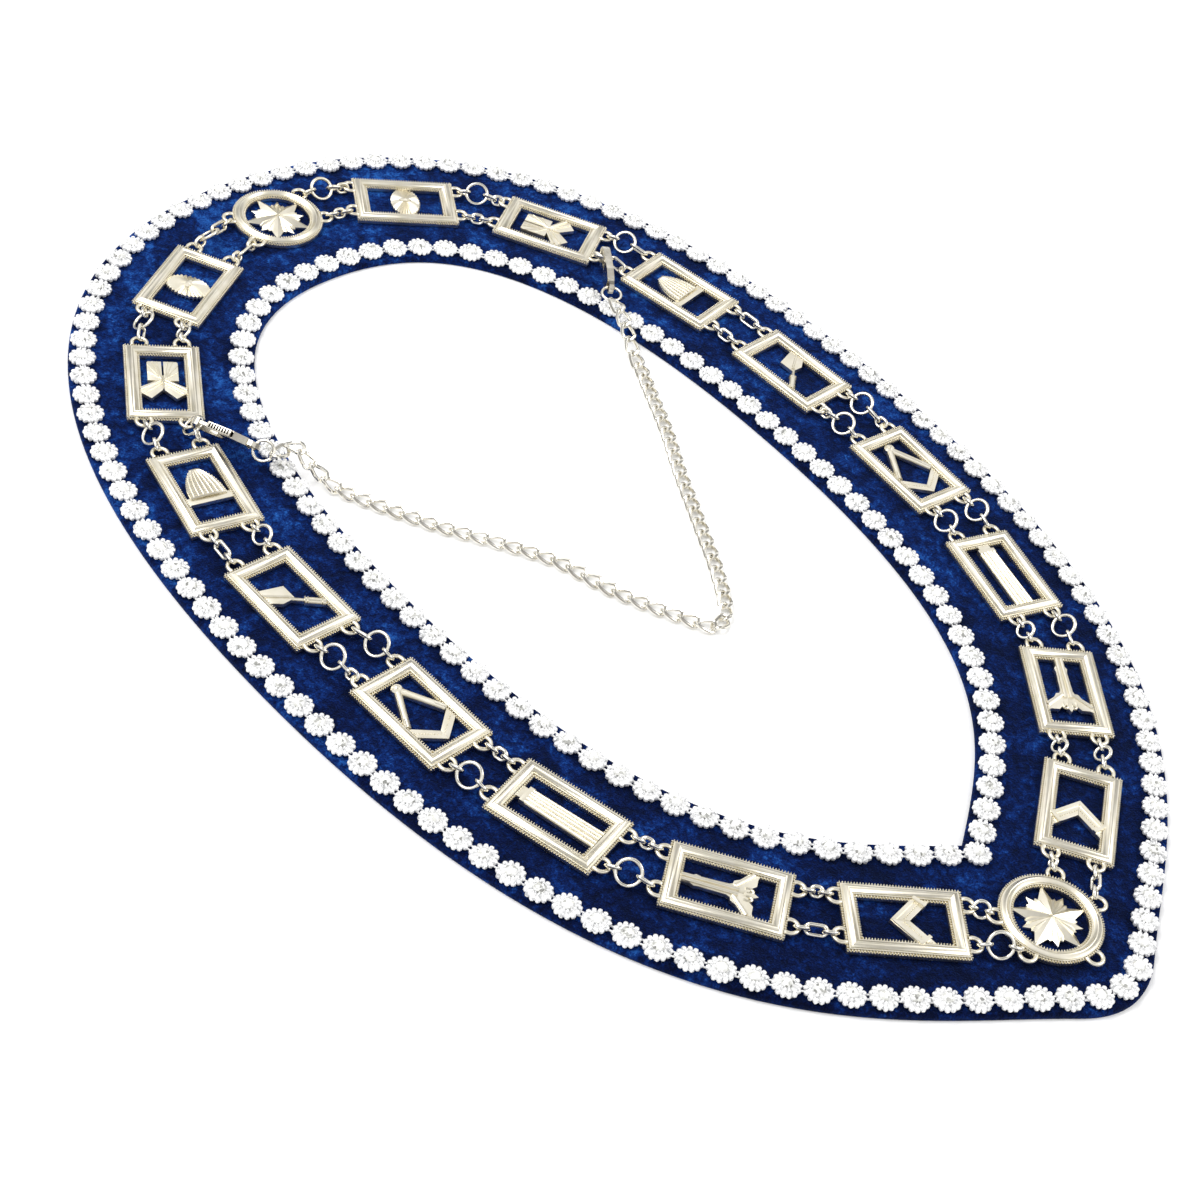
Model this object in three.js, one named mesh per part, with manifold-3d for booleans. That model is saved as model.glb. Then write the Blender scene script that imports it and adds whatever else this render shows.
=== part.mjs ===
import * as THREE from 'three';
import { mergeVertices } from 'three/addons/utils/BufferGeometryUtils.js';
import Module from 'manifold-3d';

// A chain collar lying flat: a closed velvet band with two rows of stone settings,
// sixteen pierced plates and two round medallions joined by two rows of links,
// and a safety chain that hooks across the neck opening.
// Millimetres, +Z up. +Y is the back of the neck and -Y the front point.

const wasm = await Module();
wasm.setup();

// Line that the plates follow, from the back of the neck to the front point
const ROUTE_LENGTH = 448;
const ROUTE_HALF_WIDTH = 130.8;
const FRONT_HALF_ANGLE = 54.75;
// Shares of the two sizes above
const ROUTE = {
  widest: 0.447, backHandle: 0.689, shoulderBack: 0.614, shoulderFront: 0.751, tipHandle: 0.52,
};

// Velvet band
const VELVET_THICKNESS = 3;
const VELVET_MARGIN = 5.6;
const TIP_ROUNDING = 5;

// Stone strings, measured from the plate line to the middle of each row
const STONE_ROW_OUTSIDE = 30.3;
const STONE_ROW_INSIDE = 31.6;
const STONE_WIDTH = 11;
const STONE_HEIGHT = 4;

// Plates
const PLATE_LONG = 44;
const PLATE_SHORT = 29.3;
const FRAME_WIDTH = 5.7;
const FRAME_EDGE_HEIGHT = 2.9;
const FRAME_RIDGE_HEIGHT = 3.8;
const EMBLEM_HEIGHT = 2;
const EMBLEM_RELIEF = 0.8;
const EMBLEM_UNDERSIDE = 0.4;

// Medallions
const MEDALLION_DIAMETER = 38;
const MEDALLION_RIM_WIDTH = 5;
const STAR_HEIGHT = 3.2;
const STAR_EDGE_HEIGHT = 1.1;
const MEDALLION_SIDES = 20;
// Reach of the star's long points into the rim, and its short points and notches as shares of the opening
const STAR = { intoRim: 0.6, short: 0.78, notch: 0.5 };

// Loops, rings and oval links
const WIRE = 1.2;
const LOOP_RADIUS = 3.5;
const LOOP_ROW = 8.4;
const LOOP_LIFT = 2.2;
const LINK_WIDTH = 5.2;
const RING_TILT = 41;
const LINK_TILT = 58;
const RINGS = { big: 10.6, clasped: 10.4, middle: 7.8 };
// Most of a gap that a ring's width may fill, and how deep soldered wires sink into each other
const RING_SHARE = 0.56;
const SOLDER_DEPTH = 0.78;

// Clasps
const CLASP_LENGTH = 30;
const CLASP_WIDTH = 10;
const CLASP_THICKNESS = 3;
const CLASP_EYE_THICKNESS = 2;
const CLASP_TURN = { right: 57, left: 38 };
const CLASP_RISE = 4.5;
// How far each clasp leans over from standing on its edge, in degrees
const CLASP_LEAN = { right: 0, left: 36 };
const LEVER_THICKNESS = 1.3;
const PIVOT_DIAMETER = 1.2;
const PIVOT_WALL = 0.75;

// Safety chain
const CHAIN_DIAMETER = 5;
const END_RING_DIAMETER = 9.4;
const END_RING_FALL = 5;
const CHAIN_SIDES = 8;
const CHAIN_STEPS = 46;

const CLEARANCE = 0.3;
const RING_SEGMENTS = 10;
const LOOP_SEGMENTS = 8;
const WIRE_SIDES = 5;

// Places of the plates: share along the half route, share of the plate's short side
// outwards, and degrees off the route. The emblem's name is the same on both sides.
const PLATES = [
  { emblem: 'eye', right: [0.1040, -0.02, -4], left: [0.1120, -0.06, 1] },
  { emblem: 'book', right: [0.2200, -0.03, 2], left: [0.2245, 0.00, 4] },
  { emblem: 'beehive', right: [0.3345, 0.03, -1], left: [0.3335, 0.06, 1] },
  { emblem: 'trowel', right: [0.4475, 0.02, 1], left: [0.4440, 0.03, -2] },
  { emblem: 'compasses', right: [0.5720, 0.08, 1], left: [0.5660, -0.06, 3] },
  { emblem: 'column', right: [0.6860, 0.06, 0], left: [0.6780, -0.04, 1] },
  { emblem: 'plumb', right: [0.7960, 0.05, -3], left: [0.7905, -0.10, -2] },
  { emblem: 'square', right: [0.9020, 0.05, -1], left: [0.9015, -0.06, 3] },
];

// Links in each gap, from the back to the front: a named ring and where it hangs,
// or one long oval link where the gap has no ring.
const GAPS = [
  { outer: { ring: 'big', at: 'start' }, inner: { ring: null } },
  { outer: { ring: 'big', at: 'start' }, inner: { ring: null } },
  { outer: { ring: 'big', at: 'start' }, inner: { ring: 'clasped', at: 'start' } },
  { outer: { ring: null }, inner: { ring: null } },
  { outer: { ring: 'big', at: 'start' }, inner: { ring: 'big', at: 'end' } },
  { outer: { ring: 'middle', at: 'start' }, inner: { ring: null } },
  { outer: { ring: 'middle', at: 'start' }, inner: { ring: null } },
  { outer: { ring: 'middle', at: 'start' }, inner: { ring: null } },
  { outer: { ring: null }, inner: { ring: null } },
];

// Route of the safety chain across the opening, after the right clasp's ring
const CHAIN_POINTS = [
  [85.6, 101.5, 10.7], [83.2, 93.5, 7.4], [79.4, 83.5, 3.4], [75.4, 73.5, 2.6], [70.0, 62.9, 2.6],
  [59.0, 40.9, 2.6], [46.2, 18.9, 2.6], [32.1, -7.5, 2.6], [18.9, -31.7, 2.6], [7.0, -48.0, 2.6],
  [-1.5, -51.5, 2.6], [-10.0, -40.0, 2.6], [-22.9, -16.3, 2.6], [-31.7, 7.9, 2.6], [-44.9, 27.7, 2.6],
  [-58.1, 45.3, 2.6], [-69.5, 63.5, 2.6], [-75.8, 74.5, 2.6], [-80.4, 84.0, 3.4], [-84.0, 93.5, 7.4],
  [-85.8, 101.5, 10.7],
];

// Sizes that follow from the driving dimensions
const ON_VELVET = VELVET_THICKNESS + CLEARANCE;
const LOOP_HEIGHT = ON_VELVET + LOOP_LIFT;
const PIVOT_RADIUS = PIVOT_DIAMETER / 2 + CLEARANCE + PIVOT_WALL;
const WINDOW_LONG = PLATE_LONG - 2 * FRAME_WIDTH;
const WINDOW_SHORT = PLATE_SHORT - 2 * FRAME_WIDTH;
const VELVET_OUTSIDE = STONE_ROW_OUTSIDE + VELVET_MARGIN;
const VELVET_INSIDE = STONE_ROW_INSIDE + VELVET_MARGIN;
const radians = THREE.MathUtils.degToRad;

const silver = new THREE.MeshStandardMaterial({ color: 0xebe4cd, metalness: 1, roughness: 0.25 });
const brightSilver = new THREE.MeshStandardMaterial({ color: 0xf2efe6, metalness: 1, roughness: 0.18 });
const velvet = new THREE.MeshStandardMaterial({ color: 0x14326e, metalness: 0, roughness: 0.95 });
const stones = new THREE.MeshStandardMaterial({ color: 0xf4f6fa, metalness: 0.4, roughness: 0.12 });

// Turns a closed three.js geometry into a solid whose faces point out
function solid(geometry) {
  geometry.deleteAttribute('normal');
  geometry.deleteAttribute('uv');
  const merged = mergeVertices(geometry, 1e-4);
  const place = merged.attributes.position;
  const index = merged.index.array;
  const corners = [new THREE.Vector3(), new THREE.Vector3(), new THREE.Vector3()];
  const kept = [];
  let volume = 0;
  for (let i = 0; i < index.length; i += 3) {
    const face = [index[i], index[i + 1], index[i + 2]];
    if (face[0] === face[1] || face[1] === face[2] || face[2] === face[0]) continue;
    face.forEach((vertex, k) => corners[k].fromBufferAttribute(place, vertex));
    volume += corners[0].dot(corners[1].clone().cross(corners[2]));
    kept.push(...face);
  }
  if (volume < 0) kept.reverse();
  return new wasm.Manifold(new wasm.Mesh({
    numProp: 3,
    vertProperties: new Float32Array(place.array),
    triVerts: new Uint32Array(kept),
  }));
}

// Turns a solid back into a geometry
function geometryOf(body) {
  const mesh = body.getMesh();
  const geometry = new THREE.BufferGeometry();
  geometry.setAttribute('position', new THREE.BufferAttribute(new Float32Array(mesh.vertProperties), 3));
  geometry.setIndex(new THREE.BufferAttribute(new Uint32Array(mesh.triVerts), 1));
  geometry.computeVertexNormals();
  return geometry;
}

function joined(solids) {
  return solids.reduce((sum, next) => sum.add(next));
}

function part(name, body, material) {
  const mesh = new THREE.Mesh(geometryOf(body), material);
  mesh.name = name;
  return mesh;
}

// Flat piece with the outline given, between two heights
function slab(points, bottom, top) {
  const shape = new THREE.Shape(points.map(([x, y]) => new THREE.Vector2(x, y)));
  const geometry = new THREE.ExtrudeGeometry(shape, { depth: top - bottom, bevelEnabled: false });
  geometry.translate(0, 0, bottom);
  return solid(geometry);
}

// Flat bar of one width from one point to another
function bar(from, to, width, bottom, top) {
  const start = new THREE.Vector2(...from);
  const along = new THREE.Vector2(...to).sub(start);
  const side = new THREE.Vector2(-along.y, along.x).setLength(width / 2);
  const end = start.clone().add(along);
  const corners = [start, end].flatMap((point) => [point.clone().add(side), point.clone().sub(side)]);
  [corners[2], corners[3]] = [corners[3], corners[2]];
  return slab(corners.map((corner) => [corner.x, corner.y]), bottom, top);
}

// Bar with a ridged back: a roof-shaped section of one width from one point to another
function ridgedBar(from, to, width, bottom, top) {
  const start = new THREE.Vector2(...from);
  const along = new THREE.Vector2(...to).sub(start);
  const section = [[-width / 2, bottom], [width / 2, bottom], [width / 2, (bottom + top) / 2],
    [0, top], [-width / 2, (bottom + top) / 2]];
  const shape = new THREE.Shape(section.map(([x, y]) => new THREE.Vector2(x, y)));
  const geometry = new THREE.ExtrudeGeometry(shape, { depth: along.length(), bevelEnabled: false });
  geometry.rotateX(Math.PI / 2);
  geometry.rotateZ(Math.atan2(along.y, along.x) + Math.PI / 2);
  geometry.translate(start.x, start.y, 0);
  return solid(geometry);
}

// Low oval dome with a small flat top, centred on the point given
function dome(centre, radii, sides, bottom, shoulder, top) {
  const profile = [[0, bottom], [1, bottom], [1, shoulder], [0.35, top], [0, top]];
  const geometry = new THREE.LatheGeometry(profile.map(([r, z]) => new THREE.Vector2(r, z)), sides);
  geometry.rotateX(Math.PI / 2);
  geometry.scale(radii[0], radii[1], 1);
  geometry.translate(centre[0], centre[1], 0);
  return solid(geometry);
}

// Wire ring of the radius to the middle of its wire
function ring(radius, segments = RING_SEGMENTS) {
  return new THREE.TorusGeometry(radius, WIRE / 2, WIRE_SIDES, segments);
}

// Oval wire link along X: a ring whose two halves are drawn apart
function ovalLink(halfLength, halfWidth) {
  const geometry = ring(halfWidth);
  const place = geometry.attributes.position;
  for (let i = 0; i < place.count; i += 1) {
    place.setX(i, place.getX(i) + Math.sign(place.getX(i)) * (halfLength - halfWidth));
  }
  return geometry;
}

// Right half of the plate line, from the back to the front point
const halfRoute = (() => {
  const widest = ROUTE_LENGTH * ROUTE.widest;
  const rest = ROUTE_LENGTH - widest;
  const tip = ROUTE.tipHandle * ROUTE_HALF_WIDTH;
  const at = (across, along) => new THREE.Vector2(across, -along);
  const route = new THREE.CurvePath();
  route.add(new THREE.CubicBezierCurve(at(0, 0), at(ROUTE_HALF_WIDTH * ROUTE.backHandle, 0),
    at(ROUTE_HALF_WIDTH, widest * (1 - ROUTE.shoulderBack)), at(ROUTE_HALF_WIDTH, widest)));
  route.add(new THREE.CubicBezierCurve(at(ROUTE_HALF_WIDTH, widest),
    at(ROUTE_HALF_WIDTH, widest + rest * ROUTE.shoulderFront),
    at(tip * Math.sin(radians(FRONT_HALF_ANGLE)), ROUTE_LENGTH - tip * Math.cos(radians(FRONT_HALF_ANGLE))),
    at(0, ROUTE_LENGTH)));
  return route;
})();

const ROUTE_SAMPLES = 240;
const routePoints = halfRoute.getSpacedPoints(ROUTE_SAMPLES);
const outwards = routePoints.map((point, i) => {
  const before = routePoints[Math.max(i - 1, 0)];
  const after = routePoints[Math.min(i + 1, ROUTE_SAMPLES)];
  const along = after.clone().sub(before).normalize();
  return new THREE.Vector2(-along.y, along.x);
});

// Half outline at one distance from the plate line, ending on the middle plane
function offsetHalf(distance) {
  const points = routePoints.map((point, i) => point.clone().addScaledVector(outwards[i], distance));
  points[0].x = 0;
  const crossing = points.findIndex((point, i) => i > 0 && point.x <= 0);
  const end = crossing < 0 ? points.length : crossing;
  const kept = points.slice(0, end);
  const last = kept[kept.length - 1];
  const before = kept[kept.length - 2];
  const slope = (last.y - before.y) / (last.x - before.x);
  kept.push(new THREE.Vector2(0, last.y - slope * last.x));
  return kept;
}

// Points at even steps along a line of points
function evenly(points, steps) {
  const path = new THREE.Path(points);
  return path.getSpacedPoints(steps);
}

// Closed outline at one distance from the plate line, its front corner rounded if asked
function outline(distance, steps, rounding = 0) {
  const half = offsetHalf(distance);
  const tip = half.pop();
  const leave = half.findIndex((point) => point.distanceTo(tip) < rounding + 1);
  const kept = leave < 0 ? half : half.slice(0, leave);
  const side = evenly(kept, steps);
  if (rounding > 0) {
    const start = side[side.length - 1];
    const mirrored = new THREE.Vector2(-start.x, start.y);
    const corner = new THREE.QuadraticBezierCurve(start, tip, mirrored);
    side.push(corner.getPoint(0.25), corner.getPoint(0.5));
  } else {
    side.push(tip);
  }
  const other = side.slice(1, -1).reverse().map((point) => new THREE.Vector2(-point.x, point.y));
  return side.concat(other);
}

// The outline's own frame starts on the plate line's back point: the collar's middle is the origin
const backReach = VELVET_OUTSIDE;
const frontReach = -Math.min(...outline(VELVET_OUTSIDE, 60, TIP_ROUNDING).map((point) => point.y));
const MIDDLE = (frontReach - backReach) / 2;

// Flat band between two distances from the plate line
function band(outside, inside, steps, rounding, height) {
  const shape = new THREE.Shape(outline(outside, steps.outside, rounding));
  shape.holes.push(new THREE.Path(outline(-inside, steps.inside).reverse()));
  const geometry = new THREE.ExtrudeGeometry(shape, { depth: height, steps: 1, bevelEnabled: false });
  geometry.translate(0, MIDDLE, 0);
  return solid(geometry);
}

// Frame of a plate: a moulded border with a raised ridge, its corners mitred
function plateFrame() {
  const half = PLATE_SHORT / 2;
  const profile = [
    [0, 0], [0, FRAME_EDGE_HEIGHT], [FRAME_WIDTH * 0.5, FRAME_RIDGE_HEIGHT],
    [FRAME_WIDTH, FRAME_EDGE_HEIGHT], [FRAME_WIDTH, 0], [0, 0],
  ];
  const points = profile.map(([inward, height]) => new THREE.Vector2((half - inward) * Math.SQRT2, height));
  const geometry = new THREE.LatheGeometry(points, 4, Math.PI / 4);
  geometry.rotateX(Math.PI / 2);
  const place = geometry.attributes.position;
  for (let i = 0; i < place.count; i += 1) {
    place.setX(i, place.getX(i) + Math.sign(place.getX(i)) * (PLATE_LONG - PLATE_SHORT) / 2);
  }
  return solid(geometry);
}

// Wire loop standing out of an edge at the point given
function edgeLoop(x, y) {
  const geometry = ring(LOOP_RADIUS, LOOP_SEGMENTS);
  geometry.translate(x, y, LOOP_LIFT);
  return solid(geometry);
}

// Emblems in the plate's own frame: X runs to the front, Y outwards.
// Points are shares of the window's two sides; side is where the emblem grows into the frame.
const u = (share) => share * WINDOW_LONG;
const v = (share) => share * WINDOW_SHORT;
const SIDE = 0.515;
// Heights: the flat relief, and the raised figure above it
const LOW = [EMBLEM_UNDERSIDE, EMBLEM_HEIGHT];
const HIGH = [EMBLEM_UNDERSIDE, EMBLEM_HEIGHT + EMBLEM_RELIEF];
const ON_TOP = [EMBLEM_HEIGHT - EMBLEM_RELIEF / 4, EMBLEM_HEIGHT + EMBLEM_RELIEF];
const shares = (rows) => rows.map(([a, b]) => [u(a), v(b)]);

const emblems = {
  eye: () => [
    dome([u(-0.01), 0], [u(0.18), v(SIDE)], 12, EMBLEM_UNDERSIDE, EMBLEM_HEIGHT - EMBLEM_RELIEF / 2, HIGH[1]),
    slab(shares([
      [0.02, -SIDE], [0.12, -SIDE], [0.18, -0.3], [0.2, 0], [0.18, 0.3], [0.12, SIDE], [0.02, SIDE],
    ]), ...LOW),
  ],
  book: () => [
    slab(shares([[-0.37, -0.34], [-0.02, -0.34], [-0.02, 0.34], [-0.37, 0.34]]), ...LOW),
    ridgedBar([u(-0.37), v(0.17)], [u(-0.02), v(0.17)], v(0.3), ...ON_TOP),
    ridgedBar([u(-0.37), v(-0.17)], [u(-0.02), v(-0.17)], v(0.3), ...ON_TOP),
    slab(shares([
      [-0.03, 0.16], [0.1, SIDE], [0.19, SIDE], [0.3, 0.27], [0.13, 0], [0.3, -0.27], [0.19, -SIDE],
      [0.1, -SIDE], [-0.03, -0.16],
    ]), ...LOW),
  ],
  beehive: () => [
    slab(shares([[0.13, -SIDE], [0.21, -SIDE], [0.21, SIDE], [0.13, SIDE]]), ...LOW),
    slab(shares([
      [0.14, 0.42], [-0.02, 0.39], [-0.16, 0.32], [-0.27, 0.2], [-0.34, 0.07], [-0.34, -0.07],
      [-0.27, -0.2], [-0.16, -0.32], [-0.02, -0.39], [0.14, -0.42],
    ]), ...LOW),
    slab(shares([
      [0.13, 0.26], [-0.02, 0.24], [-0.16, 0.18], [-0.28, 0], [-0.16, -0.18], [-0.02, -0.24], [0.13, -0.26],
    ]), ...ON_TOP),
  ],
  trowel: () => [
    slab(shares([[-0.27, SIDE], [-0.05, SIDE], [0.04, 0.28], [0.03, -0.03], [-0.19, -0.03]]), ...LOW),
    ridgedBar([u(-0.18), v(SIDE)], [u(0.02), v(0.02)], v(0.3), ...ON_TOP),
    ridgedBar([u(-0.01), v(0.1)], [u(0.25), v(-SIDE - 0.02)], v(0.17), ...HIGH),
  ],
  compasses: () => [
    dome([u(-0.4), 0], [v(0.15), v(0.15)], 10, EMBLEM_UNDERSIDE, EMBLEM_HEIGHT + EMBLEM_RELIEF / 4, HIGH[1]),
    bar([u(-0.4), 0], [u(0.1), v(0.55)], v(0.15), EMBLEM_UNDERSIDE, EMBLEM_HEIGHT + EMBLEM_RELIEF / 2),
    bar([u(-0.4), 0], [u(0.1), v(-0.55)], v(0.15), EMBLEM_UNDERSIDE, EMBLEM_HEIGHT + EMBLEM_RELIEF / 2),
    slab(shares([
      [0.04, 0.5], [0.04, SIDE], [0.25, SIDE], [0.46, 0], [0.25, -SIDE], [0.04, -SIDE], [0.04, -0.5],
      [0.3, 0],
    ]), ...LOW),
  ],
  column: () => [
    bar([u(-0.54), 0], [u(-0.3), 0], v(0.3), ...LOW),
    ridgedBar([u(-0.34), v(0.14)], [u(0.54), v(0.14)], v(0.15), EMBLEM_UNDERSIDE, HIGH[1] - 0.2),
    ridgedBar([u(-0.34), 0], [u(0.54), 0], v(0.15), ...HIGH),
    ridgedBar([u(-0.34), v(-0.14)], [u(0.54), v(-0.14)], v(0.15), EMBLEM_UNDERSIDE, HIGH[1] - 0.2),
    bar([u(-0.34), 0], [u(0.54), 0], v(0.4), EMBLEM_UNDERSIDE, EMBLEM_HEIGHT - EMBLEM_RELIEF),
  ],
  plumb: () => [
    ridgedBar([u(-0.54), 0], [u(0.2), 0], v(0.28), ...HIGH),
    slab(shares([
      [-0.02, 0.14], [0.06, 0.2], [0.12, 0.33], [0.19, SIDE], [0.31, SIDE], [0.25, 0.3], [0.26, 0.16], [0.34, 0.1],
      [0.34, -0.1], [0.26, -0.16], [0.25, -0.3], [0.31, -SIDE], [0.19, -SIDE], [0.12, -0.33], [0.06, -0.2],
      [-0.02, -0.14],
    ]), ...LOW),
  ],
  square: () => [
    slab(shares([[-0.16, 0], [0.1, SIDE], [0.32, SIDE], [0.06, 0], [0.32, -SIDE], [0.1, -SIDE]]), ...LOW),
    slab(shares([[-0.12, 0], [0.1, 0.48], [0.2, 0.48], [-0.02, 0], [0.2, -0.48], [0.1, -0.48]]), ...ON_TOP),
  ],
};

const LOOPS = [[1, 1], [1, -1], [-1, 1], [-1, -1]];

function platePiece(emblem, mirrored) {
  const loops = LOOPS.map(([along, across]) => edgeLoop(along * PLATE_LONG / 2, across * LOOP_ROW));
  const shapes = emblems[emblem]();
  const figure = mirrored ? shapes.map((shape) => shape.mirror([0, 1, 0])) : shapes;
  return joined([plateFrame(), ...loops, ...figure]);
}

// Round medallion: a moulded ring, a star with five long and five short points, and its loops.
// firstPoint is the direction of one long point, in degrees.
function medallionPiece(firstPoint, loopAngles) {
  const outside = MEDALLION_DIAMETER / 2;
  const inside = outside - MEDALLION_RIM_WIDTH;
  const profile = [
    [outside, 0], [outside, FRAME_EDGE_HEIGHT], [outside - MEDALLION_RIM_WIDTH / 2, FRAME_RIDGE_HEIGHT],
    [inside, FRAME_EDGE_HEIGHT], [inside, 0], [outside, 0],
  ];
  const rim = new THREE.LatheGeometry(profile.map(([r, z]) => new THREE.Vector2(r, z)), MEDALLION_SIDES);
  rim.rotateX(Math.PI / 2);
  const figure = star(firstPoint, inside + STAR.intoRim, inside * STAR.short, inside * STAR.notch);
  const pieces = [solid(rim), solid(figure)];
  for (const degrees of loopAngles) {
    pieces.push(edgeLoop(outside * Math.cos(radians(degrees)), outside * Math.sin(radians(degrees))));
  }
  return joined(pieces);
}

// Faceted star: a flat underside and a raised middle
function star(firstPoint, long, short, notch) {
  const corners = [];
  for (let i = 0; i < 20; i += 1) {
    const reach = i % 2 === 1 ? notch : (i % 4 === 0 ? long : short);
    const angle = radians(firstPoint + i * 18);
    corners.push([reach * Math.cos(angle), reach * Math.sin(angle)]);
  }
  const positions = [];
  const face = (...points) => points.forEach((point) => positions.push(...point));
  corners.forEach(([x, y], i) => {
    const [nx, ny] = corners[(i + 1) % corners.length];
    face([0, 0, STAR_HEIGHT], [x, y, STAR_EDGE_HEIGHT], [nx, ny, STAR_EDGE_HEIGHT]);
    face([0, 0, EMBLEM_UNDERSIDE], [nx, ny, EMBLEM_UNDERSIDE], [x, y, EMBLEM_UNDERSIDE]);
    face([x, y, EMBLEM_UNDERSIDE], [nx, ny, EMBLEM_UNDERSIDE], [nx, ny, STAR_EDGE_HEIGHT]);
    face([x, y, EMBLEM_UNDERSIDE], [nx, ny, STAR_EDGE_HEIGHT], [x, y, STAR_EDGE_HEIGHT]);
  });
  const geometry = new THREE.BufferGeometry();
  geometry.setAttribute('position', new THREE.Float32BufferAttribute(positions, 3));
  return geometry;
}

// Where a plate sits: its middle and the direction of its long side towards the front
function station(side, [share, across, turn]) {
  const point = halfRoute.getPointAt(share);
  const along = halfRoute.getTangentAt(share);
  const out = new THREE.Vector2(-along.y, along.x);
  point.addScaledVector(out, across * PLATE_SHORT);
  const sign = side === 'right' ? 1 : -1;
  const angle = Math.atan2(along.y, along.x) + radians(turn);
  return {
    x: sign * point.x,
    y: point.y + MIDDLE,
    angle: sign === 1 ? angle : Math.PI - angle,
    sign,
  };
}

// Place of one of a plate's loops in the collar's frame: end is 1 at the front, row is 1 outwards
function plateLoop(place, end, row) {
  const along = new THREE.Vector2(Math.cos(place.angle), Math.sin(place.angle));
  const out = new THREE.Vector2(-along.y, along.x).multiplyScalar(place.sign);
  return new THREE.Vector2(place.x, place.y)
    .addScaledVector(along, end * PLATE_LONG / 2)
    .addScaledVector(out, row * LOOP_ROW);
}

const backMedallion = { x: 0, y: MIDDLE + PLATE_SHORT * 0.1 };
const frontMedallion = { x: 0, y: MIDDLE - ROUTE_LENGTH + PLATE_SHORT * 0.11 };
const BACK_LOOPS = { outer: 26, inner: -28 };
const FRONT_LOOPS = { outer: -16, inner: 36 };

function medallionLoop(medallion, side, degrees) {
  const sign = side === 'right' ? 1 : -1;
  const radius = MEDALLION_DIAMETER / 2;
  const angle = radians(degrees);
  return new THREE.Vector2(sign * radius * Math.cos(angle), medallion.y + radius * Math.sin(angle));
}

// Where a ring's wire crosses its loop, measured from the loop's middle
const RING_SEAT = WIRE / 2 + CLEARANCE;
const SOLDERED = LOOP_RADIUS - WIRE * SOLDER_DEPTH;

// Placement of the ring that hangs in the loop at the origin, with one side raised
function ringPlace(size, total, raised, near) {
  const radius = Math.min(size - WIRE, total * RING_SHARE) / 2;
  const low = ON_VELVET + WIRE / 2 + radius * Math.sin(radians(RING_TILT));
  const pitch = Math.asin(THREE.MathUtils.clamp((low - LOOP_HEIGHT) / radius, 0, 0.6));
  const matrix = new THREE.Matrix4().makeTranslation(near, 0, LOOP_HEIGHT);
  matrix.multiply(new THREE.Matrix4().makeRotationY(-pitch));
  matrix.multiply(new THREE.Matrix4().makeTranslation(radius, 0, 0));
  matrix.multiply(new THREE.Matrix4().makeRotationX(raised * radians(RING_TILT)));
  return { radius, matrix };
}

// Links between two loops. A ring lies deep in the first loop, an oval link hangs from the
// bow of the other one, and the two meet in between. raised is the ring's upper side, 1 or -1.
function strand(from, to, rule, raised, fused) {
  const reach = to.clone().sub(from);
  const total = reach.length();
  const inLoop = LOOP_RADIUS - 2 * WIRE + CLEARANCE / 2;
  const solids = [];
  let start = new THREE.Vector3(fused ? SOLDERED : inLoop, 0, LOOP_HEIGHT);
  const end = new THREE.Vector3(total - inLoop, 0, LOOP_HEIGHT);
  if (rule.ring) {
    const { radius, matrix } = ringPlace(RINGS[rule.ring], total, raised, fused ? SOLDERED : RING_SEAT);
    solids.push(solid(ring(radius).applyMatrix4(matrix)));
    start = new THREE.Vector3(radius - WIRE * SOLDER_DEPTH, 0, 0).applyMatrix4(matrix);
  }
  end.z -= (LOOP_RADIUS - inLoop) * (start.z - LOOP_HEIGHT) / (end.x - start.x);
  const span = end.clone().sub(start);
  const halfLength = span.length() / 2;
  const link = ovalLink(halfLength, Math.min((LINK_WIDTH - WIRE) / 2, halfLength));
  link.rotateX(-raised * radians(LINK_TILT));
  link.rotateY(-Math.atan2(span.z, span.x));
  const centre = start.clone().add(end).multiplyScalar(0.5);
  link.translate(centre.x, 0, centre.z);
  solids.push(solid(link));
  return { body: joined(solids), angle: Math.atan2(reach.y, reach.x), total };
}

// Clasp outlines in the clasp's own plane: X runs from the hooked ring to the eye, Y to the
// lever's side. Lengths are shares of the clasp's length and half width.
const cx = (share) => share * CLASP_LENGTH;
const cy = (share) => share * CLASP_WIDTH / 2;
const PIVOT = [cx(0.385), cy(0.36)];
const EYE = [cx(0.71), 0];
const EYE_RADIUS = 3.3;
const EYE_HOLE = 2.1;
const HOOK_SEAT = cx(-0.045);

function claspShape(rows) {
  return rows.map(([x, y]) => [cx(x), cy(y)]);
}

// Upright plate of one thickness with the outline given: its outline lies in the XZ plane
function upright(points, thickness) {
  const body = slab(points, -thickness / 2, thickness / 2);
  return body.rotate([90, 0, 0]);
}

function disc(centre, radius, thickness, sides) {
  const points = [];
  for (let i = 0; i < sides; i += 1) {
    const angle = 2 * Math.PI * (i + 0.5) / sides;
    points.push([centre[0] + radius * Math.cos(angle), centre[1] + radius * Math.sin(angle)]);
  }
  return upright(points, thickness);
}

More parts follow.
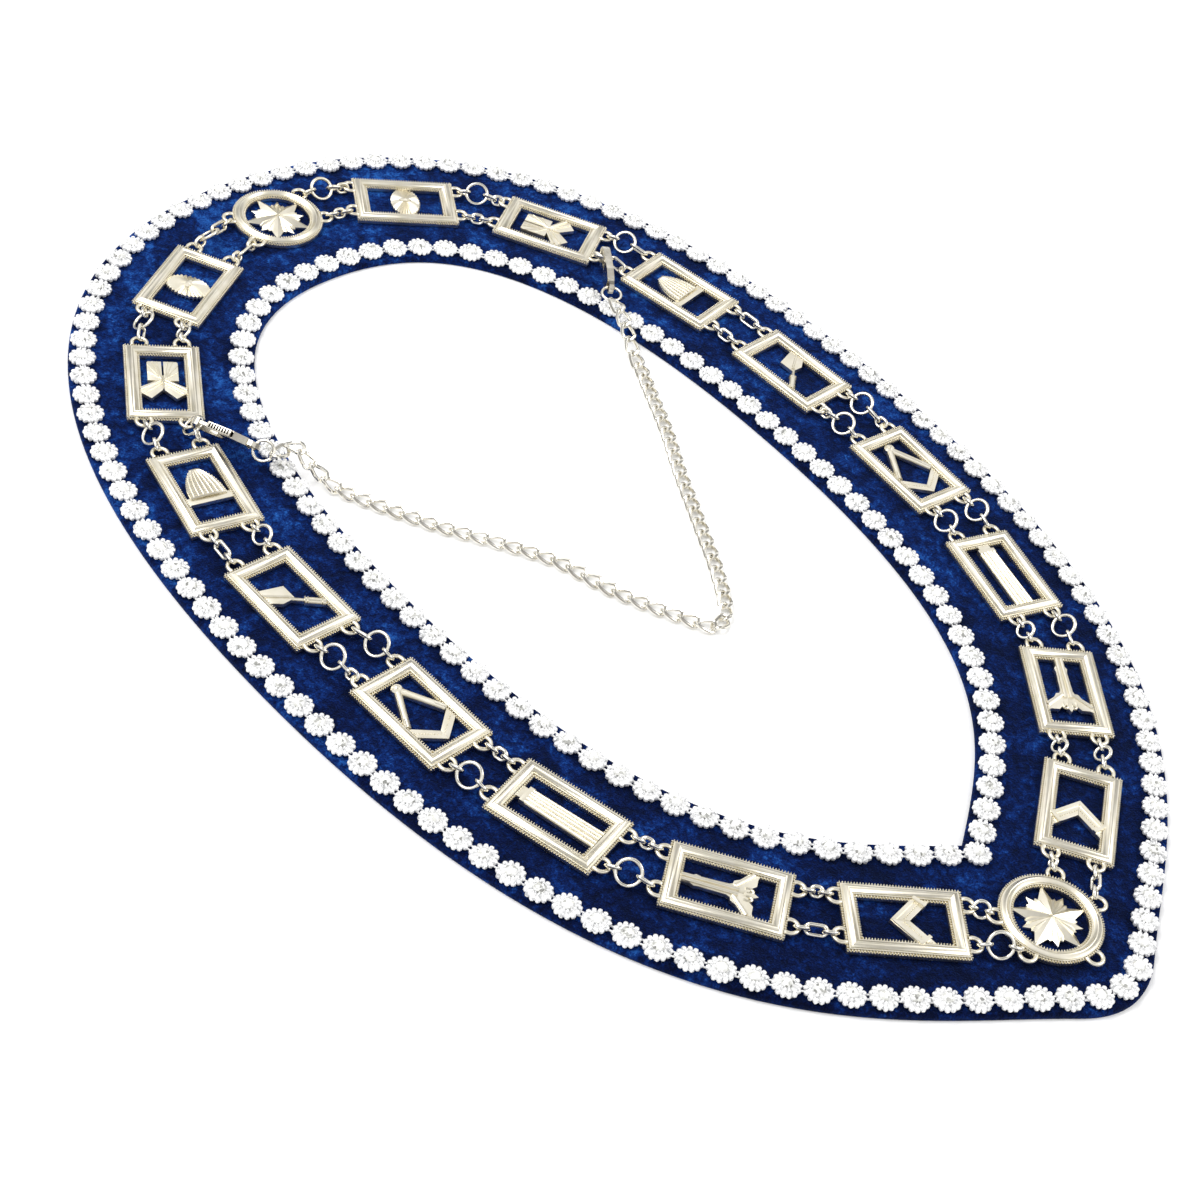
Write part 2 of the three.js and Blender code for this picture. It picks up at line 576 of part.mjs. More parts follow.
function claspBody() {
  const hook = upright(claspShape([
    [0.66, -0.5], [0.47, -0.86], [0.2, -1], [0, -1], [-0.11, -0.78], [-0.17, -0.3], [-0.17, 0.25],
    [-0.12, 0.72], [-0.07, 0.92], [-0.023, 0.94], [-0.023, 0.56], [-0.075, 0.42], [-0.105, 0.15],
    [-0.105, -0.2], [-0.07, -0.48], [0, -0.58], [0.17, -0.58], [0.27, -0.42], [0.3, -0.1], [0.3, 0.94],
    [0.47, 0.86], [0.66, 0.5],
  ]), CLASP_THICKNESS);
  const eyeDisc = disc(EYE, EYE_RADIUS, CLASP_EYE_THICKNESS, 12);
  const eye = eyeDisc.subtract(disc(EYE, EYE_HOLE, CLASP_THICKNESS, 12));
  const slotFloor = PIVOT[1] - PIVOT_RADIUS - CLEARANCE;
  const slotStart = PIVOT[0] - cx(0.1);
  const slotEnd = PIVOT[0] + cx(0.09);
  const slot = upright([
    [slotStart, slotFloor], [slotEnd, slotFloor], [slotEnd, cy(2)], [slotStart, cy(2)],
  ], LEVER_THICKNESS + 2 * CLEARANCE);
  return hook.subtract(slot).add(eye).add(disc(PIVOT, PIVOT_DIAMETER / 2, CLASP_THICKNESS, 8));
}

function claspLever() {
  const ribs = [];
  for (let i = 0; i < 4; i += 1) {
    ribs.push([0.24 + i * 0.045, 1.02], [0.2625 + i * 0.045, 1.16]);
  }
  const arm = upright([
    ...claspShape([[-0.013, 0.56], [0.26, 0.5]]),
    [PIVOT[0], PIVOT[1]],
    [PIVOT[0] + PIVOT_RADIUS * 0.9, PIVOT[1] + PIVOT_RADIUS * 0.3],
    ...claspShape([[0.43, 0.9], ...ribs.reverse(), [0.2, 0.98], [-0.013, 0.9]]),
  ], LEVER_THICKNESS);
  return arm.add(disc(PIVOT, PIVOT_RADIUS, LEVER_THICKNESS, 12))
    .subtract(disc(PIVOT, PIVOT_DIAMETER / 2 + CLEARANCE, CLASP_THICKNESS, 10));
}

const collar = new THREE.Group();

collar.add(part('velvet_backing',
  band(VELVET_OUTSIDE, VELVET_INSIDE, { outside: 36, inside: 30 }, TIP_ROUNDING, VELVET_THICKNESS),
  velvet));

for (const [name, middle, steps] of [
  ['rhinestone_string_outer', STONE_ROW_OUTSIDE, { outside: 28, inside: 28 }],
  ['rhinestone_string_inner', -STONE_ROW_INSIDE, { outside: 24, inside: 24 }],
]) {
  const rounding = middle > 0 ? TIP_ROUNDING : 0;
  const body = band(middle + STONE_WIDTH / 2, STONE_WIDTH / 2 - middle, steps, rounding, STONE_HEIGHT);
  const string = part(name, body, stones);
  string.position.z = ON_VELVET;
  collar.add(string);
}

const places = { right: [], left: [] };
PLATES.forEach((row, i) => {
  for (const side of ['right', 'left']) {
    const place = station(side, row[side]);
    places[side].push(place);
    const plate = part(`plate_${side}_${i + 1}`, platePiece(row.emblem, side === 'left'), silver);
    plate.position.set(place.x, place.y, ON_VELVET);
    plate.rotation.z = place.angle;
    collar.add(plate);
  }
});

const mirror = (degrees) => 180 - degrees;
const bothSides = ({ outer, inner }) => [outer, inner, mirror(outer), mirror(inner)];
const backPieces = [medallionPiece(90, bothSides(BACK_LOOPS))];
const front = part('medallion_front', medallionPiece(-90, [...bothSides(FRONT_LOOPS), -90]), silver);
front.position.set(frontMedallion.x, frontMedallion.y, ON_VELVET);
collar.add(front);

// Loop at the start and end of each gap, from the back medallion to the front one
function gapEnds(side, gap, row) {
  const sign = row === 'outer' ? 1 : -1;
  const start = gap === 0
    ? medallionLoop(backMedallion, side, BACK_LOOPS[row])
    : plateLoop(places[side][gap - 1], 1, sign);
  const end = gap === PLATES.length
    ? medallionLoop(frontMedallion, side, FRONT_LOOPS[row])
    : plateLoop(places[side][gap], -1, sign);
  return { start, end };
}

const clasped = {};
GAPS.forEach((gap, i) => {
  for (const side of ['right', 'left']) {
    for (const row of ['outer', 'inner']) {
      const { start, end } = gapEnds(side, i, row);
      const rule = gap[row];
      const reversed = rule.at === 'end';
      const [from, to] = reversed ? [end, start] : [start, end];
      const inward = (side === 'left') === reversed ? -1 : 1;
      const fused = i === 0;
      // All rings show their face to the left, but the clasped one lifts its inward side
      const raised = side === 'right' && rule.ring !== 'clasped' ? -inward : inward;
      const { body, angle, total } = strand(from, to, rule, raised, fused);
      if (fused) {
        const turned = body.rotate([0, 0, THREE.MathUtils.radToDeg(angle)]);
        backPieces.push(turned.translate([from.x - backMedallion.x, from.y - backMedallion.y, -ON_VELVET]));
        continue;
      }
      const links = part(`links_${side}_${i + 1}_${row}`, body, silver);
      links.position.set(from.x, from.y, 0);
      links.rotation.z = angle;
      collar.add(links);
      if (rule.ring === 'clasped') clasped[side] = { links, inward, total };
    }
  }
});

// The links of the first gap are soldered to the back medallion
const back = part('medallion_back', joined(backPieces), silver);
back.position.set(backMedallion.x, backMedallion.y, ON_VELVET);
collar.add(back);

// Clasps: each hooks the clasped ring on its inward side and points to the opening
const claspAngles = {};
const eyes = {};
for (const side of ['right', 'left']) {
  const { links, inward, total } = clasped[side];
  const { radius, matrix } = ringPlace(RINGS.clasped, total, inward, RING_SEAT);
  const turn = inward * radians(CLASP_TURN[side]);
  const held = new THREE.Vector3(radius * Math.cos(turn), radius * Math.sin(turn), 0).applyMatrix4(matrix);
  links.updateMatrixWorld();
  held.applyMatrix4(links.matrixWorld);
  const group = new THREE.Group();
  group.position.copy(held);
  group.rotation.set(radians(CLASP_LEAN[side]), -radians(CLASP_RISE), links.rotation.z + turn, 'ZYX');
  const leverUp = side === 'left';
  const shift = (body) => {
    const seated = body.translate([-HOOK_SEAT, 0, 0]);
    return leverUp ? seated : seated.mirror([0, 0, 1]);
  };
  group.add(part(`clasp_${side}`, shift(claspBody()), silver));
  group.add(part(`clasp_lever_${side}`, shift(claspLever()), brightSilver));
  collar.add(group);
  group.updateMatrixWorld();
  const eyeSeat = EYE[0] + EYE_HOLE - WIRE / 2 - 2 * CLEARANCE - HOOK_SEAT;
  eyes[side] = new THREE.Vector3(eyeSeat, 0, 0).applyMatrix4(group.matrixWorld);
  claspAngles[side] = group.rotation.z;
}

// Safety chain: a soldered end ring through each clasp's eye, and the chain between them
function endRing(side) {
  const radius = (END_RING_DIAMETER - WIRE) / 2;
  const matrix = new THREE.Matrix4().makeTranslation(eyes[side].x, eyes[side].y, eyes[side].z);
  matrix.multiply(new THREE.Matrix4().makeRotationZ(claspAngles[side]));
  matrix.multiply(new THREE.Matrix4().makeRotationY(radians(END_RING_FALL)));
  matrix.multiply(new THREE.Matrix4().makeRotationX(radians(CLASP_LEAN[side])));
  matrix.multiply(new THREE.Matrix4().makeTranslation(radius, 0, 0));
  const far = new THREE.Vector3(radius, 0, 0).applyMatrix4(matrix);
  return { body: solid(ring(radius).applyMatrix4(matrix)), far };
}

const rightEnd = endRing('right');
const leftEnd = endRing('left');
const chainRoute = new THREE.CatmullRomCurve3([
  rightEnd.far, ...CHAIN_POINTS.map((point) => new THREE.Vector3(...point)), leftEnd.far,
], false, 'centripetal');
const chainSection = [];
for (let i = 0; i < CHAIN_SIDES; i += 1) {
  const angle = 2 * Math.PI * i / CHAIN_SIDES;
  chainSection.push(new THREE.Vector2(Math.cos(angle), Math.sin(angle)).multiplyScalar(CHAIN_DIAMETER / 2));
}
const chainTube = new THREE.ExtrudeGeometry(new THREE.Shape(chainSection), {
  steps: CHAIN_STEPS, extrudePath: chainRoute, bevelEnabled: false,
});
collar.add(part('safety_chain', joined([solid(chainTube), rightEnd.body, leftEnd.body]), silver));

export default collar;
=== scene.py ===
"""Chain collar: plates, medallions and links on a velvet band edged with stones."""

from math import asin, atan2, cos, hypot, pi, radians, sin, sqrt

import bmesh
import bpy
import numpy as np
from mathutils import Matrix, Vector

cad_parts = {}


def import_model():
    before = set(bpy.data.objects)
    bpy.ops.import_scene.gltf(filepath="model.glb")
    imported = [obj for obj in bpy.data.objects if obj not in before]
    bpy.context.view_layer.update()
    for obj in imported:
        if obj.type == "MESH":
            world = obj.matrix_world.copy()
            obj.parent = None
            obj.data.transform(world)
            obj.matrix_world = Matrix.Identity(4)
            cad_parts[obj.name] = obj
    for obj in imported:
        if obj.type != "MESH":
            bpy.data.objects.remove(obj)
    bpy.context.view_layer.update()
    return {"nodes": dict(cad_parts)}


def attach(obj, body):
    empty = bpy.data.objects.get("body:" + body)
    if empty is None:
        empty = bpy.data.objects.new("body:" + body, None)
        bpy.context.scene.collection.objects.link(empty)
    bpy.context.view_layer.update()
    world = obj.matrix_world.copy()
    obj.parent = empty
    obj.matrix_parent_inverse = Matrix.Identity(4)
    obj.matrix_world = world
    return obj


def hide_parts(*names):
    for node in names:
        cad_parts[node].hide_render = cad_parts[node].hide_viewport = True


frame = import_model()

# Lengths are in millimetres until a mesh is made
MM = 0.001

# Line that the plates follow, from the back of the neck to the front point
ROUTE_LENGTH = 448
ROUTE_HALF_WIDTH = 130.8
FRONT_HALF_ANGLE = 54.75
WIDEST, BACK_HANDLE, SHOULDER_BACK, SHOULDER_FRONT, TIP_HANDLE = 0.447, 0.689, 0.614, 0.751, 0.52
ROUTE_STEPS = 480

# Velvet band
VELVET_THICKNESS = 3
VELVET_OUTSIDE = 35.9
VELVET_INSIDE = 37.2
TIP_ROUNDING = 5
CORNER_ROUNDING = 1.5
ROUNDED_FROM = 18
EDGE_SOFTNESS = 1.4
VELVET_COLUMNS = 300

# Stone strings
STONE_ROW_OUTSIDE = 30.3
STONE_ROW_INSIDE = 31.6
FLOWER_WIDTH = 10.8
FLOWER_PITCH = 11.1
PETALS = 13
FLOWER_TILT = radians(2.2)
BAR_RADIUS = 0.36
BAR_OFFSET = 0.95
BAR_HEIGHT = 0.75
BAR_REACH = 0.16

# Plates and medallions
PLATE_LONG = 44
PLATE_SHORT = 29.3
FRAME_WIDTH = 5.7
TOOTH_PITCH = 1.06
TOOTH_BOTTOM = 1.5
TOOTH_HEIGHT = 1.15
TOOTH_THICKNESS = 0.32
TOOTH_DEPTH = 0.58
TOOTH_ROWS = (0.02, 0.98)
EMBLEM_HEIGHT = 2
EMBLEM_UNDERSIDE = 0.4
MEDALLION_DIAMETER = 38
MEDALLION_RIM_WIDTH = 5
MEDALLION_SIDES = 120
BACK_MEDALLION_SHIFT = 0.1
FRONT_MEDALLION_SHIFT = 0.11
BACK_LOOPS = (26, -28)
FRONT_LOOPS = (-16, 36)

# Loops, rings and oval links
WIRE = 1.2
LOOP_ROW = 8.4
LOOP_LIFT = 2.2
LINK_WIDTH = 5.2
RING_TILT = radians(41)
LINK_TILT = radians(58)
RINGS = {"big": 10.6, "clasped": 10.4, "middle": 7.8}
RING_SHARE = 0.56
SOLDER_DEPTH = 0.78
CLEARANCE = 0.3
ON_VELVET = VELVET_THICKNESS + CLEARANCE
LOOP_HEIGHT = ON_VELVET + LOOP_LIFT
WIRE_SIDES = 12
RING_STEPS = 40
LINK_WIRE = 1.45
LOOP_WIRE = 1.75
SMALL_LINK = 5.1
LEAST_LINK = 3.7
LEAST_RING = 6
LOOP_BEND = 2.95
LOOP_OFFSET = 1.3

# Safety chain
CHAIN_LINK_LENGTH = 9.8
CHAIN_LINK_WIDTH = 6.4
CHAIN_WIRE = 1.5
CHAIN_TWIST = radians(40)
CHAIN_DROP = 0.7
END_RING_DIAMETER = 9.4
END_RING_FALL = radians(5)

# Clasps
CLASP_LENGTH = 30
CLASP_WIDTH = 10
CLASP_SOFTNESS = 0.55
CLASP_HOOK = -0.045
CLASP_EYE = 0.71
CLASP_EYE_RADIUS = 2.1
CLASP_TURN = {"right": radians(57), "left": radians(38)}
CLASP_LEAN = {"right": 0, "left": radians(36)}
CLASP_RISE = radians(4.5)
GRIP_START, GRIP_END = 3.4, 13.6
GRIP_WIDTH = 2.7
GRIP_HEIGHT = 0.9
# The grip's grooves are dark bars of painted shade
GROOVES = 8
GROOVE_WIDTH = 0.62

# Plates: share along the half route, share of the short side outwards, degrees off the route
PLATES = [
    ("eye", (0.104, -0.02, -4), (0.112, -0.06, 1)),
    ("book", (0.22, -0.03, 2), (0.2245, 0, 4)),
    ("beehive", (0.3345, 0.03, -1), (0.3335, 0.06, 1)),
    ("trowel", (0.4475, 0.02, 1), (0.444, 0.03, -2)),
    ("compasses", (0.572, 0.08, 1), (0.566, -0.06, 3)),
    ("column", (0.686, 0.06, 0), (0.678, -0.04, 1)),
    ("plumb", (0.796, 0.05, -3), (0.7905, -0.1, -2)),
    ("square", (0.902, 0.05, -1), (0.9015, -0.06, 3)),
]

# Links in each gap from the back to the front: (ring, end it hangs at) outwards and inwards
PLAIN = (None, "start")
BIG = ("big", "start")
BIG_LAST = ("big", "end")
MIDDLE_RING = ("middle", "start")
CLASPED = ("clasped", "start")
GAPS = {
    "right": [
        (BIG, PLAIN), (BIG, PLAIN), (BIG, CLASPED), (PLAIN, PLAIN), (BIG, BIG_LAST),
        (BIG, BIG), (BIG, BIG), (MIDDLE_RING, MIDDLE_RING), (PLAIN, PLAIN),
    ],
    "left": [
        (BIG_LAST, PLAIN), (BIG, BIG), (BIG, CLASPED), (PLAIN, BIG), (BIG, BIG_LAST),
        (BIG, PLAIN), (BIG, PLAIN), (PLAIN, PLAIN), (BIG, BIG),
    ],
}

# Route of the safety chain across the opening, from the right clasp's ring to the left one's
CHAIN_POINTS = [
    (85.6, 101.5, 10.7), (83.2, 93.5, 7.4), (79.4, 83.5, 3.4), (75.4, 73.5, 2.6), (70.0, 62.9, 2.6),
    (59.0, 40.9, 2.6), (46.2, 18.9, 2.6), (32.1, -7.5, 2.6), (18.9, -31.7, 2.6), (7.0, -48.0, 2.6),
    (-1.5, -51.5, 2.6), (-10.0, -40.0, 2.6), (-22.9, -16.3, 2.6), (-31.7, 7.9, 2.6), (-44.9, 27.7, 2.6),
    (-58.1, 45.3, 2.6), (-69.5, 63.5, 2.6), (-75.8, 74.5, 2.6), (-80.4, 84.0, 3.4), (-84.0, 93.5, 7.4),
    (-85.8, 101.5, 10.7),
]

# Floor and sky
FLOOR_HALF = 6
FLOOR_GLOW = 0.06
SKY_STRENGTH = 1.05

# Camera of the photograph, in metres and degrees
CAMERA_PLACE = (-0.5592, -0.4240, 0.6400)
CAMERA_TURN = (45.271, -10.738, -41.972)
CAMERA_LENS = 73.43
CAMERA_SENSOR = 36


# Materials

def srgb(red, green, blue):
    """Linear colour of a screen colour given as 0 to 255."""
    def linear(value):
        value /= 255
        return value / 12.92 if value <= 0.04045 else ((value + 0.055) / 1.055) ** 2.4
    return (linear(red), linear(green), linear(blue), 1)


def fill_ramp(node, stops):
    """Gives a colour ramp its stops: how far along each is, and its colour."""
    while len(node.color_ramp.elements) < len(stops):
        node.color_ramp.elements.new(0.5)
    for element, (share, colour) in zip(node.color_ramp.elements, stops):
        element.position = share
        element.color = colour


class Shader:
    """A material with a principled surface and short ways to add nodes."""

    def __init__(self, name):
        self.material = bpy.data.materials.new(name)
        self.material.use_nodes = True
        self.nodes = self.material.node_tree.nodes
        self.links = self.material.node_tree.links
        self.surface = self.nodes["Principled BSDF"]
        self.place = self.add("ShaderNodeTexCoord").outputs["Object"]

    def add(self, kind, **settings):
        node = self.nodes.new(kind)
        for key, value in settings.items():
            setattr(node, key, value)
        return node

    def set(self, **sockets):
        for name, value in sockets.items():
            self.surface.inputs[name.replace("_", " ")].default_value = value

    def link(self, output, socket):
        self.links.new(output, socket)

    def noise(self, scale, detail=2.0, roughness=0.5, distortion=0.0):
        node = self.add("ShaderNodeTexNoise")
        values = {"Scale": scale, "Detail": detail, "Roughness": roughness, "Distortion": distortion}
        for name, value in values.items():
            node.inputs[name].default_value = value
        self.link(self.place, node.inputs["Vector"])
        return node.outputs["Fac"]

    def ramp(self, value, stops):
        node = self.add("ShaderNodeValToRGB")
        fill_ramp(node, stops)
        self.link(value, node.inputs["Fac"])
        return node.outputs["Color"]

    def math(self, operation, first, second):
        node = self.add("ShaderNodeMath", operation=operation)
        for socket, value in zip(node.inputs, (first, second)):
            if isinstance(value, (int, float)):
                socket.default_value = value
            else:
                self.link(value, socket)
        return node.outputs["Value"]

    def span(self, value, low, high):
        node = self.add("ShaderNodeMapRange")
        node.inputs["To Min"].default_value = low
        node.inputs["To Max"].default_value = high
        self.link(value, node.inputs["Value"])
        return node.outputs["Result"]

    def drive(self, name, output):
        self.link(output, self.surface.inputs[name])

    def bump(self, height, distance, strength):
        node = self.add("ShaderNodeBump")
        node.inputs["Strength"].default_value = strength
        node.inputs["Distance"].default_value = distance
        self.link(height, node.inputs["Height"])
        self.drive("Normal", node.outputs["Normal"])


def velvet_material():
    """Crushed royal blue pile: dark and light patches with a fine grain, and painted light that makes it
    brighter towards the back and darker towards the front.
    """
    shader = Shader("velvet")
    patches = shader.noise(55, detail=3, roughness=0.6, distortion=0.7)
    tufts = shader.noise(330, detail=3, roughness=0.7, distortion=0.3)
    grain = shader.noise(1300, detail=2, roughness=0.75)
    split = shader.add("ShaderNodeSeparateXYZ")
    shader.link(shader.place, split.inputs["Vector"])
    pile_and_painted_light = shader.math("MULTIPLY", patches, 0.42)
    # The Y term is painted light: it brightens the pile towards the back and darkens it towards the front.
    for layer, amount in ((tufts, 0.34), (grain, 0.24), (split.outputs["Y"], 0.12)):
        pile_and_painted_light = shader.math("ADD", pile_and_painted_light, shader.math("MULTIPLY", layer, amount))
    colour = shader.ramp(pile_and_painted_light, [
        (0.41, srgb(2, 5, 30)), (0.49, srgb(3, 16, 60)),
        (0.56, srgb(10, 42, 108)), (0.66, srgb(40, 100, 184)),
    ])
    shader.drive("Base Color", colour)
    shader.set(Roughness=0.95, Specular_IOR_Level=0.08, Sheen_Weight=0.22, Sheen_Roughness=0.5)
    shader.set(Sheen_Tint=srgb(60, 110, 205))
    pile = shader.math("ADD", tufts, shader.math("MULTIPLY", grain, 0.6))
    shader.bump(pile, 0.0016, 0.9)
    return shader.material


def metal_material(name, colour, worn, low, high):
    """Plated metal: a slight change of tone and roughness, and the faint unevenness of a casting."""
    shader = Shader(name)
    drift = shader.noise(180, detail=3, roughness=0.55)
    fine = shader.noise(1400, detail=2, roughness=0.6)
    tone = shader.ramp(drift, [(0.3, worn), (0.62, colour)])
    shader.drive("Base Color", tone)
    shader.drive("Roughness", shader.span(fine, low, high))
    shader.set(Metallic=1.0)
    shader.bump(drift, 0.0001, 0.25)
    return shader.material


def stone_material():
    """Clear cut stone on a bright foil, with facets that flash light and dark."""
    shader = Shader("cut_stone")
    cells = shader.add("ShaderNodeTexVoronoi")
    cells.inputs["Scale"].default_value = 900
    shader.link(shader.place, cells.inputs["Vector"])
    flash = shader.ramp(cells.outputs["Color"], [
        (0.16, srgb(150, 150, 146)), (0.3, srgb(236, 236, 230)), (0.5, srgb(255, 255, 254)),
    ])
    shader.drive("Base Color", flash)
    shader.set(Metallic=0.15, Roughness=0.12, Coat_Weight=0.6, Coat_Roughness=0.05, IOR=1.5)
    return shader.material


def setting_material():
    """Bright silver of the cup settings, with a little grey in patches spread at random by noise."""
    shader = Shader("setting_silver")
    drift = shader.noise(700, detail=2)
    tone = shader.ramp(drift, [(0.32, srgb(196, 197, 198)), (0.46, srgb(252, 252, 252))])
    shader.drive("Base Color", tone)
    shader.drive("Roughness", shader.span(drift, 0.2, 0.38))
    shader.set(Metallic=0.3)
    return shader.material


VELVET = velvet_material()
SILVER = metal_material("plate_silver", srgb(243, 237, 221), srgb(233, 226, 205), 0.26, 0.35)
WIRE_SILVER = metal_material("wire_silver", srgb(246, 243, 234), srgb(232, 227, 214), 0.1, 0.2)
CLASP_SILVER = metal_material("clasp_silver", srgb(222, 217, 204), srgb(186, 180, 168), 0.16, 0.28)
# Near-black metal for the grip's bars: painted shade in place of the shadow in the grooves
PAINTED_GROOVE_SHADE = metal_material("painted_groove_shade", srgb(34, 31, 28), srgb(20, 18, 16), 0.5, 0.65)
STONE = stone_material()
SETTING = setting_material()


# Meshes

def move(x, y, z):
    matrix = np.eye(4)
    matrix[:3, 3] = (x, y, z)
    return matrix


def turn(axis, angle):
    return np.array(Matrix.Rotation(angle, 4, axis))


def scale(x, y, z):
    return np.diag([x, y, z, 1.0])


def at(matrix, points):
    """Where a matrix puts one point or a list of points."""
    return np.asarray(points, float) @ matrix[:3, :3].T + matrix[:3, 3]


def new_object(name, data):
    made = bpy.data.objects.new(name, data)
    bpy.context.scene.collection.objects.link(made)
    return made


class Form:
    """Collects points and faces in millimetres and makes one piece of them."""

    def __init__(self):
        self.points, self.faces, self.slots = [], [], []
        self.count = 0

    def add(self, points, faces, matrix=None, slot=0):
        points = np.asarray(points, float) if matrix is None else at(matrix, points)
        self.points.append(points)
        self.faces.extend(tuple(index + self.count for index in face) for face in faces)
        self.slots.extend([slot] * len(faces))
        self.count += len(points)

    def merge(self, other, matrix):
        self.add(np.concatenate(other.points), other.faces, matrix)
        self.slots[-len(other.slots):] = other.slots

    def piece(self, name, materials, body, slot, replaced, sharp=35, matrix=None):
        points = np.concatenate(self.points)
        if matrix is not None:
            points = at(matrix, points)
        mesh = bpy.data.meshes.new(name)
        mesh.from_pydata((points * MM).tolist(), [], self.faces)
        for material in materials:
            mesh.materials.append(material)
        mesh.polygons.foreach_set("material_index", self.slots)
        work = bmesh.new()
        work.from_mesh(mesh)
        bmesh.ops.recalc_face_normals(work, faces=work.faces)
        work.to_mesh(mesh)
        work.free()
        mesh.polygons.foreach_set("use_smooth", [True] * len(mesh.polygons))
        mesh.set_sharp_from_angle(angle=radians(sharp))
        piece = new_object(name, mesh)
        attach(piece, body)
        if replaced:
            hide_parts(*replaced)


def full_turn(count):
    """Angles that share a full turn evenly."""
    return 2 * pi * np.arange(count) / count


def grid_faces(rows, columns, closed_rows=False, closed_columns=False):
    """Quads of a grid of points, wrapping round either way."""
    faces = []
    for i in range(rows if closed_rows else rows - 1):
        for j in range(columns if closed_columns else columns - 1):
            a, b = i * columns + j, i * columns + (j + 1) % columns
            k = (i + 1) % rows
            faces.append((a, b, k * columns + (j + 1) % columns, k * columns + j))
    return faces


def lathe(profile, sides):
    """Closed solid turned about Z. The profile starts and ends on the axis."""
    inner = profile[1:-1]
    points = [(r * cos(a), r * sin(a), z) for r, z in inner for a in full_turn(sides)]
    faces = grid_faces(len(inner), sides, closed_columns=True)
    low, high = len(points), len(points) + 1
    points += [(0, 0, profile[0][1]), (0, 0, profile[-1][1])]
    last = (len(inner) - 1) * sides
    faces += [(low, (j + 1) % sides, j) for j in range(sides)]
    faces += [(high, last + j, last + (j + 1) % sides) for j in range(sides)]
    return points, faces


def turned_ring(profile, sides):
    """Ring turned about Z from a closed profile of (radius, height)."""
    points = [(r * cos(a), r * sin(a), z) for a in full_turn(sides) for r, z in profile]
    return points, grid_faces(sides, len(profile), True, True)


def wire_along(path, radius, sides=WIRE_SIDES, closed=True):
    """Round wire along a path of points, with round ends where it is open."""
    path = np.asarray(path, float)
    along = np.roll(path, -1, 0) - np.roll(path, 1, 0) if closed else np.gradient(path, axis=0)
    along /= np.linalg.norm(along, axis=1)[:, None]
    normal = np.cross(along[0], (0, 0, 1))
    if np.linalg.norm(normal) < 0.1:
        normal = np.cross(along[0], (0, 1, 0))
    rings = []
    angles = full_turn(sides)
    for point, direction in zip(path, along):
        normal = normal - direction * np.dot(normal, direction)
        normal /= np.linalg.norm(normal)
        other = np.cross(direction, normal)
        rings.append(point + radius * (np.outer(np.cos(angles), normal) + np.outer(np.sin(angles), other)))
    points = np.concatenate(rings)
    faces = grid_faces(len(path), sides, closed, True)
    if not closed:
        faces += [tuple(range(sides)), tuple(range(len(points) - sides, len(points)))[::-1]]
    return points, faces


def circle(radius, steps=RING_STEPS):
    angles = full_turn(steps)
    return np.stack([radius * np.cos(angles), radius * np.sin(angles), np.zeros(steps)], -1)


def oval(half_length, half_width, steps=RING_STEPS):
    """Outline of a link along X: two half rings drawn apart."""
    points = circle(half_width, steps)
    points[:, 0] += np.sign(np.round(np.cos(full_turn(steps)), 6)) * (half_length - half_width)
    return points


def slab(outline, bottom, top, bevel):
    """Flat relief with the outline given and its upper edge rounded off."""
    work = bmesh.new()
    base = work.faces.new([work.verts.new((x, y, bottom)) for x, y in outline])
    raised = bmesh.ops.extrude_face_region(work, geom=[base])
    upper = {v for v in raised["geom"] if isinstance(v, bmesh.types.BMVert)}
    for vertex in upper:
        vertex.co.z = top
    edges = [e for e in work.edges if e.verts[0] in upper and e.verts[1] in upper]
    bmesh.ops.bevel(work, geom=edges, offset=bevel, segments=2, affect="EDGES", profile=0.6)
    work.verts.index_update()
    points = [tuple(v.co) for v in work.verts]
    faces = [tuple(v.index for v in f.verts) for f in work.faces]
    work.free()
    return points, faces


def box(width, depth, bottom, top, bevel):
    x, y = width / 2, depth / 2
    return slab([(-x, -y), (x, -y), (x, y), (-x, y)], bottom, top, bevel)


def ridge(start, end, width, bottom, top):
    """Bar with a rounded back from one point to another."""
    start, end = np.array(start, float), np.array(end, float)
    along = (end - start) / np.linalg.norm(end - start)
    side = np.array([-along[1], along[0]])
    steps = 6
    section = []
    for i in range(steps + 1):
        angle = pi * i / steps
        height = bottom + (top - bottom) * (0.45 + 0.55 * sin(angle))
        section.append((-cos(angle) * width / 2, height))
    section += [(width / 2, bottom), (-width / 2, bottom)]
    points = [(*(place + side * across), height) for place in (start, end) for across, height in section]
    count = len(section)
    faces = [(i, (i + 1) % count, count + (i + 1) % count, count + i) for i in range(count)]
    faces += [tuple(range(count)), tuple(range(count, 2 * count))[::-1]]
    return points, faces


DOME = lathe([(0, -0.4), (1, -0.4), (1, 0.25), (0.72, 0.78), (0, 1)], 8)


def bead(form, place, bottom, along, across, height, angle=0.0):
    """Adds the small dome at a place, stretched to the half sizes given."""
    form.add(*DOME, move(*place, bottom) @ turn("Z", angle) @ scale(along, across, height))


# The plate line and what is parallel to it

def bezier(p0, p1, p2, p3, steps=1200):
    t = np.linspace(0, 1, steps)[:, None]
    p0, p1, p2, p3 = (np.array(p, float) for p in (p0, p1, p2, p3))
    return (1 - t) ** 3 * p0 + 3 * (1 - t) ** 2 * t * p1 + 3 * (1 - t) * t ** 2 * p2 + t ** 3 * p3


